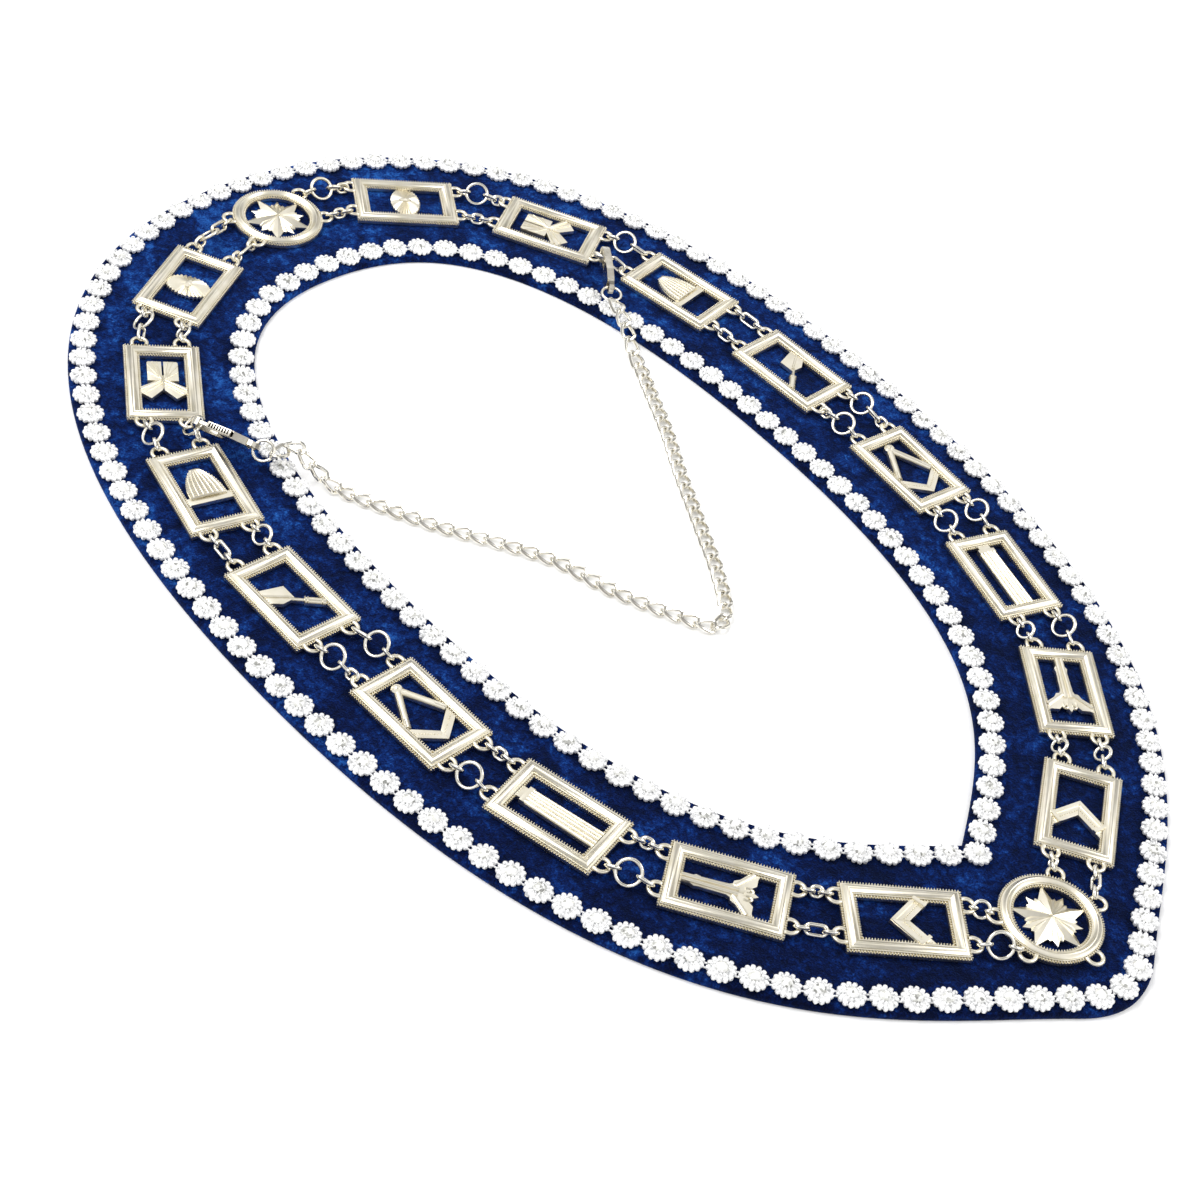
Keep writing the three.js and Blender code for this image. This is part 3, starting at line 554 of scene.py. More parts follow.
def half_route():
    widest = ROUTE_LENGTH * WIDEST
    rest = ROUTE_LENGTH - widest
    tip = TIP_HANDLE * ROUTE_HALF_WIDTH
    angle = radians(FRONT_HALF_ANGLE)
    first = bezier((0, 0), (ROUTE_HALF_WIDTH * BACK_HANDLE, 0),
                   (ROUTE_HALF_WIDTH, -widest * (1 - SHOULDER_BACK)), (ROUTE_HALF_WIDTH, -widest))
    second = bezier((ROUTE_HALF_WIDTH, -widest), (ROUTE_HALF_WIDTH, -widest - rest * SHOULDER_FRONT),
                    (tip * sin(angle), -ROUTE_LENGTH + tip * cos(angle)), (0, -ROUTE_LENGTH))
    return np.concatenate([first, second[1:]])


def lengths(points):
    return np.concatenate([[0], np.cumsum(np.linalg.norm(np.diff(points, axis=0), axis=1))])


def evenly(points, steps):
    """Points at even steps along a line of points."""
    run = lengths(points)
    wanted = np.linspace(0, run[-1], steps + 1)
    return np.stack([np.interp(wanted, run, points[:, k]) for k in range(points.shape[1])], -1)


ROUTE = half_route()
ROUTE_POINTS = evenly(ROUTE, ROUTE_STEPS)
TANGENTS = np.gradient(ROUTE_POINTS, axis=0)
TANGENTS /= np.linalg.norm(TANGENTS, axis=1)[:, None]
OUTWARDS = np.stack([-TANGENTS[:, 1], TANGENTS[:, 0]], -1)


def offset_half(distance, rounding=0.0):
    """Right half of the line at one distance from the plate line, ending on the middle plane."""
    points = ROUTE_POINTS + OUTWARDS * distance
    points[0, 0] = 0
    crossed = [i for i in range(1, len(points)) if points[i, 0] <= 0]
    kept = points[:crossed[0]] if crossed else points
    last, before = kept[-1], kept[-2]
    slope = (last[1] - before[1]) / (last[0] - before[0])
    tip = np.array([0, last[1] - slope * last[0]])
    if rounding <= 0:
        return np.concatenate([kept, [tip]])
    near = np.linalg.norm(kept - tip, axis=1) < rounding + 1
    side = kept[:int(np.argmax(near))] if near.any() else kept
    start = side[-1]
    mirrored = start * (-1, 1)
    t = np.linspace(0, 0.5, 9)[1:, None]
    corner = (1 - t) ** 2 * start + 2 * (1 - t) * t * tip + t ** 2 * mirrored
    return np.concatenate([side, corner])


def whole_line(half):
    """Closed line made of its right half and the mirrored left one."""
    return np.concatenate([half, half[-2:0:-1] * (-1, 1)])


MIDDLE = (-offset_half(VELVET_OUTSIDE, TIP_ROUNDING)[:, 1].min() - VELVET_OUTSIDE) / 2


def station(side, row):
    """Where the middle of a plate is on one side, and how it is turned."""
    share, across, degrees = row
    run = lengths(ROUTE)
    point, ahead, back = (
        np.array([np.interp(share * run[-1] + step, run, ROUTE[:, k]) for k in (0, 1)])
        for step in (0, 0.5, -0.5))
    along = (ahead - back) / np.linalg.norm(ahead - back)
    point = point + np.array([-along[1], along[0]]) * across * PLATE_SHORT
    sign = 1 if side == "right" else -1
    angle = atan2(along[1], along[0]) + radians(degrees)
    return {
        "x": sign * point[0], "y": point[1] + MIDDLE,
        "angle": angle if sign == 1 else pi - angle, "sign": sign,
    }


# Velvet band

def velvet_band():
    """One closed band with soft rounded edges and a top that is not quite even."""
    top, soft = VELVET_THICKNESS, EDGE_SOFTNESS
    bend = np.linspace(0, pi / 2, 5)
    rows = [(-VELVET_INSIDE + soft - soft * cos(a), top - soft + soft * sin(a)) for a in bend]
    rows += [(d, top) for d in np.linspace(-VELVET_INSIDE + soft, VELVET_OUTSIDE - soft, 23)[1:-1]]
    rows += [(VELVET_OUTSIDE - soft + soft * sin(a), top - soft + soft * cos(a)) for a in bend]
    rows += [(VELVET_OUTSIDE - 0.1, 0.3), (VELVET_OUTSIDE - 0.5, 0.0), (-VELVET_INSIDE + 0.5, 0.0),
             (-VELVET_INSIDE + 0.1, 0.3)]
    sheet = []
    for distance, height in rows:
        blend = min(max((distance - ROUNDED_FROM) / (VELVET_OUTSIDE - ROUNDED_FROM), 0), 1)
        whole = whole_line(evenly(offset_half(distance, CORNER_ROUNDING * blend), VELVET_COLUMNS))
        x, y = whole[:, 0], whole[:, 1] + MIDDLE
        z = np.full(len(whole), float(height))
        if height > top - 0.01:
            ease = min(1, (VELVET_OUTSIDE - distance) / 6, (VELVET_INSIDE + distance) / 6)
            wave = np.sin(x * 0.11 + 1.3) * np.sin(y * 0.09) + np.sin(x * 0.05 - y * 0.13)
            z += -0.1 - 0.05 * ease * wave
        sheet.append(np.stack([x, y, z], -1))
    form = Form()
    form.add(np.concatenate(sheet), grid_faces(len(rows), 2 * VELVET_COLUMNS, True, True))
    form.piece("velvet_band", [VELVET], "collar", "velvet", ["velvet_backing"], sharp=70)


velvet_band()


# Stone strings

def flower():
    """One setting: round petals about a fluted cup that holds a faceted stone."""
    form = Form()
    half = FLOWER_WIDTH / 2
    cup = [(0, 0.1), (half * 0.74, 0.1), (half * 0.8, 0.5), (half * 0.78, 1.3), (half * 0.5, 2.2), (0, 2.2)]
    form.add(*lathe(cup, PETALS * 2))
    for k in range(PETALS):
        around = turn("Z", 2 * pi * k / PETALS)
        form.add(*PETAL, around @ move(half * 0.78, 0, 1.1) @ turn("Y", 0.3) @ scale(1.15, 1.02, 1.25))
        form.add(*PETAL, around @ move(half * 0.53, 0, 1.9) @ turn("Y", 0.5) @ scale(1.1, 0.55, 0.95))
    form.add(*cut_stone(half * 0.44, half * 0.2, 2.3, 3.95), slot=1)
    return form


def cut_stone(girdle, table, bottom, top, sides=10):
    """Faceted stone: a girdle, two rows of facets and a flat table."""
    rise = top - bottom
    rows = [(girdle * 0.95, bottom), (girdle, bottom + rise * 0.35),
            (girdle * 0.74, bottom + rise * 0.75), (table, top)]
    points, faces = [], []
    for row, (radius, height) in enumerate(rows):
        for j in range(sides):
            angle = 2 * pi * (j + row % 2 / 2) / sides
            points.append((radius * cos(angle), radius * sin(angle), height))
    for row in range(len(rows) - 1):
        shift = row % 2
        for j in range(sides):
            a, b = row * sides + j, row * sides + (j + 1) % sides
            c = (row + 1) * sides + (j + shift) % sides
            d = (row + 1) * sides + (j + shift - 1) % sides
            faces += [(a, b, c), (a, c, d)]
    last = (len(rows) - 1) * sides
    faces += [tuple(range(last, last + sides)), tuple(range(sides))[::-1]]
    return points, faces


PETAL = lathe([(0, -0.5), (0.9, -0.5), (1, 0.05), (0.76, 0.68), (0, 1)], 8)
FLOWER = flower()


def stone_string(name, distance, node, rounding):
    """Row of settings at one distance from the plate line, joined by pairs of small bars."""
    half = offset_half(distance, rounding)
    whole = whole_line(evenly(half, round(lengths(half)[-1] / FLOWER_PITCH)))
    whole[:, 1] += MIDDLE
    form = Form()
    total = len(whole)
    for i, (x, y) in enumerate(whole):
        before, after = whole[i - 1], whole[(i + 1) % total]
        along = atan2(after[1] - before[1], after[0] - before[0])
        lean = turn("X", FLOWER_TILT * sin(i * 2.399)) @ turn("Y", FLOWER_TILT * cos(i * 1.71))
        form.merge(FLOWER, move(x, y, ON_VELVET) @ turn("Z", along + 0.15 * sin(i * 5.1)) @ lean)
        reach = after - (x, y)
        length = np.linalg.norm(reach)
        centre = move(x + reach[0] / 2, y + reach[1] / 2, ON_VELVET + BAR_HEIGHT)
        for row in (-1, 1):
            path = [(length * share, row * BAR_OFFSET, 0) for share in (-BAR_REACH, 0, BAR_REACH)]
            joiner = wire_along(path, BAR_RADIUS, sides=6, closed=False)
            form.add(*joiner, centre @ turn("Z", atan2(reach[1], reach[0])))
    form.piece(name, [SETTING, STONE], "collar", "stones", [node], sharp=8)


stone_string("stone_string_outer", STONE_ROW_OUTSIDE, "rhinestone_string_outer", CORNER_ROUNDING)
stone_string("stone_string_inner", -STONE_ROW_INSIDE, "rhinestone_string_inner", 0)


# Plates

WINDOW_LONG = PLATE_LONG - 2 * FRAME_WIDTH
WINDOW_SHORT = PLATE_SHORT - 2 * FRAME_WIDTH

# Moulding of a frame: share of its width inwards, and height
MOULDING = [
    (0, 0), (0, 1.5), (0.1, 1.5), (0.12, 2.4), (0.2, 2.4), (0.22, 2.75), (0.3, 2.95),
    (0.42, 3.55), (0.47, 3.75), (0.5, 3.8), (0.53, 3.75), (0.58, 3.55), (0.7, 2.95), (0.78, 2.75),
    (0.8, 2.4), (0.88, 2.4), (0.9, 1.5), (1, 1.5), (1, 0),
]


def plate_frame(form):
    """Moulded border with mitred corners and a row of teeth along both edges."""
    points = []
    for sx, sy in ((1, 1), (-1, 1), (-1, -1), (1, -1)):
        for inward, height in MOULDING:
            reach = inward * FRAME_WIDTH
            points.append((sx * (PLATE_LONG / 2 - reach), sy * (PLATE_SHORT / 2 - reach), height))
    form.add(points, grid_faces(4, len(MOULDING), True, True))
    for inward in TOOTH_ROWS:
        reach = inward * FRAME_WIDTH
        half_long, half_short = PLATE_LONG / 2 - reach, PLATE_SHORT / 2 - reach
        for half, other, angle in ((half_long, half_short, 0), (half_short, half_long, pi / 2)):
            count = round(2 * half / TOOTH_PITCH)
            for i in range(count):
                step = -half + 2 * half * (i + 0.5) / count
                for side in (-1, 1):
                    place = (step, side * other) if angle == 0 else (side * other, step)
                    bead(form, place, TOOTH_BOTTOM, TOOTH_THICKNESS, TOOTH_DEPTH, TOOTH_HEIGHT, angle)


LOW = EMBLEM_UNDERSIDE
MID = EMBLEM_HEIGHT
HIGH = EMBLEM_HEIGHT + 0.8
SIDE = 0.515


# Emblems: their points are shares of the window's length and width, from its middle

def spot(along, across):
    return along * WINDOW_LONG, across * WINDOW_SHORT


def relief(form, rows, top, bevel, side=1, bottom=LOW):
    """Flat form with the outline given, mirrored across for side -1."""
    form.add(*slab([spot(a, b * side) for a, b in rows][::side], bottom, top, bevel))


def bar(form, start, end, width, bottom, top, side=1):
    """Bar with a rounded back, mirrored across for side -1."""
    ends = [spot(a, b * side) for a, b in (start, end)]
    form.add(*ridge(*ends, width, bottom, top))


def thin_wire(form, path, radius):
    form.add(*wire_along(path, radius, sides=8, closed=False))


def symmetric(edge):
    """Outline with equal halves, from the edge of one half."""
    return edge + [(a, -b) for a, b in edge[::-1]]


def emblem_eye(form):
    """Sunburst with an eye in its middle, right across the window, with a row of teeth in front."""
    corners = 60
    half_long, half_short = spot(0.19, SIDE)
    points, faces = [(0, 0, HIGH)], []
    for k, angle in enumerate(full_turn(corners)):
        crest = 0.35 if k % 2 == 0 else -0.3
        rows = ((0.3, HIGH - 0.1 + crest * 0.4), (0.75, MID + 0.1 + crest), (1, MID - 0.4 + crest), (1, LOW))
        for reach, z in rows:
            points.append((half_long * reach * cos(angle), half_short * reach * sin(angle), z))
        a, b = 1 + 4 * k, 1 + 4 * ((k + 1) % corners)
        faces += [(0, a, b), *((a + i, a + i + 1, b + i + 1, b + i) for i in range(3))]
    faces.append(tuple(4 + 4 * k for k in range(corners))[::-1])
    form.add(points, faces)
    almond = [(2.7 * cos(a), 1.3 * sin(a) * abs(sin(a)) ** 0.5) for a in full_turn(24)]
    form.add(*slab(almond, MID, HIGH + 0.3, 0.25))
    bead(form, (0, 0), HIGH + 0.2, 0.9, 0.9, 0.55)
    for a in np.linspace(-1.25, 1.25, 15):
        place = (half_long * cos(a), half_short * sin(a))
        bead(form, place, LOW + 0.3, 0.75, 0.34, 1.2, atan2(sin(a) * 0.7, cos(a)))


def emblem_book(form):
    """Open book with lines that spread over its pages, above two notched wings."""
    page = [(-0.37, 0.02), (-0.02, 0.02), (-0.02, 0.34), (-0.35, 0.34), (-0.37, 0.31)]
    wing = [(-0.03, 0), (-0.03, 0.14), (0.1, SIDE), (0.19, SIDE), (0.3, 0.27), (0.13, 0)]
    for side in (-1, 1):
        relief(form, page, MID + 0.3, 0.2, side)
        for line_end in ((-0.36, 0.12), (-0.36, 0.22), (-0.3, 0.33), (-0.17, 0.33)):
            bar(form, (-0.04, 0.04), line_end, 0.5, MID + 0.1, MID + 0.62, side)
        relief(form, wing, MID + 0.1, 0.25, side)
        bar(form, (-0.02, 0.05), (0.15, 0.5), 0.9, MID, HIGH - 0.1, side)
        bar(form, (0.02, 0.02), (0.22, 0.42), 0.6, MID, MID + 0.6, side)
    bar(form, (-0.1, 0), (0.14, 0), 0.7, MID, HIGH)


# Edge of the hive from its base to its top
HIVE = [(0.14, 0.42), (-0.02, 0.39), (-0.16, 0.32), (-0.27, 0.2), (-0.34, 0.07)]


def hive_point(along, t, lift):
    """Point of the hive's round front, from edge to edge for t from -1 to 1."""
    half = np.interp(-along, [-a for a, _ in HIVE], [b for _, b in HIVE])
    crown = 0.25 + 0.75 * sqrt(1 - ((along - 0.13) / 0.5) ** 2)
    x, y = spot(along, half * 0.97)
    return x, y * t, MID + lift + crown * sqrt(1 - 0.82 * t * t) * 0.95


def emblem_beehive(form):
    """Coiled hive with upright ribs on a base bar across the window."""
    relief(form, symmetric([(0.1, -SIDE), (0.21, -SIDE)]), MID + 0.1, 0.25)
    relief(form, symmetric(HIVE), MID, 0.2)
    for along in np.linspace(0.115, -0.315, 13):
        thin_wire(form, [hive_point(along, t, -0.15) for t in np.linspace(-1, 1, 9)], 0.62)
    for t in np.linspace(-0.8, 0.8, 7):
        thin_wire(form, [hive_point(along, t, 0.05) for along in np.linspace(0.115, -0.3, 9)], 0.5)


def emblem_trowel(form):
    """Trowel laid across a corner: a flat ridged blade and a turned handle."""
    blade = [(-0.19, -0.03), (0.03, -0.03), (0.04, 0.28), (-0.05, SIDE), (-0.27, SIDE)]
    relief(form, blade, MID + 0.2, 0.3)
    bar(form, (-0.17, SIDE), (0, 0.02), 1.0, MID, HIGH)
    start, end = np.array(spot(0, 0.08)), np.array(spot(0.25, -SIDE))
    reach = end - start
    form.add(*ridge(start, start + reach * 0.45, 1.5, LOW, MID + 0.5))
    form.add(*ridge(start + reach * 0.42, end, 3.0, LOW, HIGH + 0.1))
    for t in (0.42, 0.5, 0.9):
        bead(form, start + reach * t, MID - 0.2, 0.4, 1.8, 1.25, atan2(reach[1], reach[0]))


def emblem_compasses(form):
    """Compasses opened over a square with graduated arms."""
    for side in (-1, 1):
        bar(form, (-0.4, 0), (0.1, 0.5), 2.9, LOW, HIGH + 0.2, side)
        relief(form, [(0.32, 0), (0.1, SIDE), (0.25, SIDE), (0.46, 0)], MID + 0.1, 0.22, side)
        for t in np.linspace(0.1, 0.9, 9):
            bead(form, spot(0.38 - 0.2 * t, SIDE * t * side), MID, 0.34, 0.34, 0.42)
        bar(form, (-0.01, 0.39), (0.1, 0.5), 1.5, MID, HIGH + 0.5, side)
    hinge = [(0, LOW), (2.3, LOW), (2.3, MID + 0.4), (1.6, HIGH + 0.4), (0, HIGH + 0.5)]
    screw = [(0, MID), (0.9, MID), (0.9, HIGH + 0.6), (0.5, HIGH + 0.8), (0, HIGH + 0.8)]
    for profile, sides in ((hinge, 20), (screw, 14)):
        form.add(*lathe(profile, sides), move(*spot(-0.4, 0), 0))


def emblem_column(form):
    """Fluted column that runs from frame to frame and widens in two steps."""
    for lane in range(-2, 3):
        top = HIGH + 0.25 - 0.16 * abs(lane)
        bar(form, (-0.38, 0.082 * lane), (SIDE, 0.094 * lane), 0.1 * WINDOW_SHORT, LOW, top)
    relief(form, symmetric([(-SIDE, -0.15), (-0.43, -0.15)]), MID + 0.3, 0.25)
    relief(form, symmetric([(-0.44, -0.21), (-0.37, -0.21)]), MID + 0.6, 0.25)


def emblem_plumb(form):
    """Ridged pillar that flares into two pointed arms round a small scroll."""
    pillar = [(-SIDE, -0.1), (-0.4, -0.1), (-0.35, -0.15), (-0.29, -0.125), (0, -0.14), (0.1, -0.14)]
    arm = [(-0.02, 0), (-0.02, 0.13), (0.04, 0.17), (0.05, 0.25), (0.11, 0.31), (0.2, SIDE),
           (0.32, SIDE), (0.3, 0.42), (0.3, 0.25), (0.25, 0.17), (0.24, 0.1), (0.2, 0)]
    point = [(0.18, -0.05), (0.28, -0.07), (0.34, 0), (0.28, 0.07), (0.18, 0.05)]
    relief(form, symmetric(pillar), MID + 0.2, 0.3)
    relief(form, point, MID + 0.3, 0.25)
    for side in (-1, 1):
        bar(form, (-0.5, 0.05), (0.12, 0.065), 1.5, MID, HIGH + 0.2, side)
        relief(form, arm, MID + 0.15, 0.25, side)
        bar(form, (0.07, 0.12), (0.25, 0.5), 1.5, MID, HIGH, side)
        curl = np.linspace(-0.8, 3.4, 11)
        scroll = [spot(0.22 + 0.055 * sin(a), (0.095 + 0.055 * cos(a)) * side) for a in curl]
        thin_wire(form, [(x, y, MID - 0.2) for x, y in scroll], 0.6)


def emblem_square(form):
    """Square with graduated arms held by a clip at each side."""
    for side in (-1, 1):
        relief(form, [(-0.16, 0), (0.1, SIDE), (0.32, SIDE), (0.06, 0)], MID + 0.1, 0.3, side)
        lip = [(-0.15, 0), (0.1, 0.5), (0.16, 0.5), (-0.09, 0)]
        relief(form, lip, MID + 0.55, 0.15, side, MID - 0.1)
        for t in np.linspace(0.08, 0.88, 10):
            bead(form, spot(-0.02 + 0.25 * t, SIDE * t * side), MID + 0.05, 0.36, 0.36, 0.42)
        run, rise = spot(0.25, SIDE)
        clip = move(*spot(0.19, 0.46 * side), 0) @ turn("Z", atan2(rise, run) * side)
        form.add(*box(1.6, 5.6, LOW, HIGH + 0.2, 0.25), clip)


EMBLEMS = {
    "eye": emblem_eye, "book": emblem_book, "beehive": emblem_beehive, "trowel": emblem_trowel,
    "compasses": emblem_compasses, "column": emblem_column, "plumb": emblem_plumb, "square": emblem_square,
}


def loop(form, x, y, outwards):
    """Ring cast on the edge, with most of its bow outside."""
    angles = np.linspace(-2.1, 2.1, 26)
    path = [(LOOP_OFFSET + LOOP_BEND * cos(a), LOOP_BEND * sin(a), 0) for a in angles]
    form.add(*wire_along(path, LOOP_WIRE / 2, closed=False),
             move(x, y, LOOP_LIFT - 0.2) @ turn("Z", outwards))


def plate(side, index, emblem, place):
    form = Form()
    plate_frame(form)
    figure = Form()
    EMBLEMS[emblem](figure)
    form.merge(figure, scale(1, -1 if side == "left" else 1, 1))
    for along in (-1, 1):
        for across in (-1, 1):
            loop(form, along * PLATE_LONG / 2, across * LOOP_ROW, 0 if along > 0 else pi)
    placed = move(place["x"], place["y"], ON_VELVET) @ turn("Z", place["angle"])
    form.piece(f"{emblem}_plate_{side}", [SILVER], "collar", "plate_silver", [f"plate_{side}_{index}"],
               matrix=placed)


places = {"right": [], "left": []}
for index, (emblem, right_row, left_row) in enumerate(PLATES, 1):
    for side, row in (("right", right_row), ("left", left_row)):
        places[side].append(station(side, row))
        plate(side, index, emblem, places[side][-1])


# Medallions

BACK_MEDALLION_Y = MIDDLE + PLATE_SHORT * BACK_MEDALLION_SHIFT
FRONT_MEDALLION_Y = MIDDLE - ROUTE_LENGTH + PLATE_SHORT * FRONT_MEDALLION_SHIFT


def medallion(first_point, loop_angles):
    """Round moulding with toothed edges round a star of five long and five short rays."""
    form = Form()
    outside = MEDALLION_DIAMETER / 2
    inside = outside - MEDALLION_RIM_WIDTH
    profile = [(outside - inward * MEDALLION_RIM_WIDTH, height) for inward, height in MOULDING]
    form.add(*turned_ring(profile, MEDALLION_SIDES))
    for radius in (outside - MEDALLION_RIM_WIDTH * row for row in TOOTH_ROWS):
        for angle in full_turn(round(2 * pi * radius / TOOTH_PITCH)):
            place = (radius * cos(angle), radius * sin(angle))
            bead(form, place, TOOTH_BOTTOM, TOOTH_DEPTH, TOOTH_THICKNESS, TOOTH_HEIGHT, angle)
    for k in range(5):
        angle = radians(first_point + 72 * k)
        ray(form, angle, inside + 0.8, 7.4, 6.2, 3.6)
        short = angle + radians(36)
        for offset, reach in ((-14, 0.7), (14, 0.7), (0, 0.84)):
            ray(form, short + radians(offset), inside * reach, 7.6, 4.2, 3.2 - abs(offset) * 0.01)
    for degrees in loop_angles:
        angle = radians(degrees)
        loop(form, outside * cos(angle), outside * sin(angle), angle)
    return form


def ray(form, angle, reach, waist, width, height):
    """One ray of a star: a ridge from the middle that falls and narrows to its point."""
    edge = 1.3
    points = [
        (0, 0, height), (reach, 0, edge), (waist, width / 2, edge), (waist, -width / 2, edge),
        (0, 0, LOW), (reach, 0, LOW), (waist, width / 2, LOW), (waist, -width / 2, LOW),
        (waist, 0, height - 0.5),
    ]
    faces = [
        (0, 8, 2), (8, 1, 2), (0, 3, 8), (8, 3, 1), (4, 6, 5), (4, 5, 7),
        (2, 1, 5, 6), (1, 3, 7, 5), (0, 2, 6, 4), (3, 0, 4, 7),
    ]
    form.add(points, faces, turn("Z", angle))


def medallion_loop(middle_y, side, degrees):
    sign = 1 if side == "right" else -1
    radius = MEDALLION_DIAMETER / 2
    angle = radians(degrees)
    return np.array([sign * radius * cos(angle), middle_y + radius * sin(angle)])


def both_sides(angles):
    return [*angles, *(180 - angle for angle in angles)]


medallion(-90, [*both_sides(FRONT_LOOPS), -90]).piece(
    "star_medallion_front", [SILVER], "collar", "plate_silver", ["medallion_front"],
    matrix=move(0, FRONT_MEDALLION_Y, ON_VELVET))


# Links between the plates

def plate_loop(place, end, row):
    along = np.array([cos(place["angle"]), sin(place["angle"])])
    out = np.array([-along[1], along[0]]) * place["sign"]
    return np.array([place["x"], place["y"]]) + along * end * PLATE_LONG / 2 + out * row * LOOP_ROW


def ring_place(size, total, raised, near):
    """Middle line radius and placement of a ring that hangs in the loop at the origin."""
    radius = min(size - WIRE, total * RING_SHARE) / 2
    low = ON_VELVET + WIRE / 2 + radius * sin(RING_TILT)
    pitch = asin(min(max((low - LOOP_HEIGHT) / radius, 0), 0.6))
    matrix = (move(near, 0, LOOP_HEIGHT) @ turn("Y", -pitch) @ move(radius, 0, 0)
              @ turn("X", raised * RING_TILT))
    return radius, matrix


def strand(total, rule, raised, clasp):
    """Wire of the links between two loops, in the frame of the first loop.

    A small link hangs in each loop where there is room, and a ring or an oval link joins them.
    """
    start = LOOP_OFFSET + LOOP_BEND - LOOP_WIRE / 2 - LINK_WIRE / 2
    span = total - 2 * start
    size = RINGS.get(rule[0])
    if size and clasp:
        radius, matrix = ring_place(size, total, raised, WIRE / 2 + CLEARANCE)
        joint = at(matrix, (radius - WIRE * SOLDER_DEPTH, 0, 0))
        return [(circle(radius), matrix), link((joint[0], joint[2]), (total - start, LOOP_HEIGHT), -raised)]
    if not size:
        small = min(SMALL_LINK, (span + 2 * LINK_WIRE) / 3)
        spans = [small, span + 2 * LINK_WIRE - 2 * small, small]
    else:
        ring = max(min(size - LINK_WIRE, span + 2 * (LINK_WIRE - LEAST_LINK)), LEAST_RING)
        rest = span + 2 * LINK_WIRE - ring
        small = min(SMALL_LINK, rest / 2)
        spans = [small, ring, rest - small]
        if rest - small > SMALL_LINK + LEAST_LINK:
            spans = [small, ring, rest + LINK_WIRE - 2 * small, small]
    at_x, out, sign = start, [], -raised
    heights = [LOOP_HEIGHT] * (len(spans) + 1)
    if size:
        lifted = ON_VELVET + LINK_WIRE / 2 + spans[1] / 2 * sin(RING_TILT)
        heights[1] = heights[2] = max(LOOP_HEIGHT, lifted)
    for i, length in enumerate(spans):
        if size and i == 1:
            matrix = move(at_x + length / 2, 0, heights[i]) @ turn("X", raised * RING_TILT)
            out.append((circle(length / 2), matrix))
        else:
            out.append(link((at_x, heights[i]), (at_x + length, heights[i + 1]), sign))
        sign = -sign
        at_x += length - LINK_WIRE
    return out


def link(near, far, side):
    """Oval link between two points of the strand, rolled to one side."""
    run, rise = far[0] - near[0], far[1] - near[1]
    half_length = hypot(run, rise) / 2
    half_width = min((LINK_WIDTH - LINK_WIRE) / 2, half_length)
    matrix = (move((near[0] + far[0]) / 2, 0, (near[1] + far[1]) / 2)
              @ turn("Y", -atan2(rise, run)) @ turn("X", side * LINK_TILT))
    return oval(half_length, half_width), matrix


def gap_ends(side, gap, row):
    """The two loops that a strand joins."""
    which = 0 if row == 1 else 1
    if gap == 0:
        start = medallion_loop(BACK_MEDALLION_Y, side, BACK_LOOPS[which])
    else:
        start = plate_loop(places[side][gap - 1], 1, row)
    if gap == len(PLATES):
        end = medallion_loop(FRONT_MEDALLION_Y, side, FRONT_LOOPS[which])
    else:
        end = plate_loop(places[side][gap], -1, row)
    return start, end


back = Form()
back.merge(medallion(90, both_sides(BACK_LOOPS)), move(0, BACK_MEDALLION_Y, ON_VELVET))

clasped = {}
for gap in range(len(PLATES) + 1):
    for side in ("right", "left"):
        for rule, row, label in zip(GAPS[side][gap], (1, -1), ("outer", "inner")):
            first, last = gap_ends(side, gap, row)
            from_end = rule[1] == "end"
            if from_end:
                first, last = last, first
            inward = -1 if (side == "left") == from_end else 1
            reach = last - first
            total = np.linalg.norm(reach)
            angle = atan2(reach[1], reach[0])
            clasp = rule[0] == "clasped"
            raised = -inward if side == "right" and not clasp else inward
            placed = move(*first, 0) @ turn("Z", angle)
            form = back if gap == 0 else Form()
            for path, matrix in strand(total, rule, raised, clasp):
                form.add(*wire_along(path, LINK_WIRE / 2), placed @ matrix)
            if gap:
                name = f"links_{side}_{gap + 1}_{label}"
                form.piece(f"wire_{name}", [WIRE_SILVER], "collar", "wire_silver", [name])
            if clasp:
                clasped[side] = (placed, angle, inward, total)

back.piece("star_medallion_back", [SILVER], "collar", "plate_silver", ["medallion_back"])


# Clasps keep their modelled shape, with softened edges

for side in ("right", "left"):
    for name in (f"clasp_{side}", f"clasp_lever_{side}"):
        node = frame["nodes"][name]
        node.data.materials.clear()
        node.data.materials.append(CLASP_SILVER)
        soften = node.modifiers.new("soften", "BEVEL")
        soften.width = CLASP_SOFTNESS * MM
        soften.segments = 3
        soften.limit_method = "ANGLE"
        soften.angle_limit = radians(28)
        node.data.polygons.foreach_set("use_smooth", [True] * len(node.data.polygons))


# Safety chain and the clasps' places

HOOK_SEAT = CLASP_LENGTH * CLASP_HOOK
EYE_SEAT = CLASP_LENGTH * CLASP_EYE + CLASP_EYE_RADIUS - WIRE / 2 - 2 * CLEARANCE - HOOK_SEAT


def clasp_frame(side):
    placed, angle, inward, total = clasped[side]
    radius, matrix = ring_place(RINGS["clasped"], total, inward, WIRE / 2 + CLEARANCE)
    swing = inward * CLASP_TURN[side]
    held = at(placed @ matrix, (radius * cos(swing), radius * sin(swing), 0))
    turned = turn("Z", angle + swing) @ turn("Y", -CLASP_RISE) @ turn("X", CLASP_LEAN[side])
    return move(*held) @ turned, angle + swing


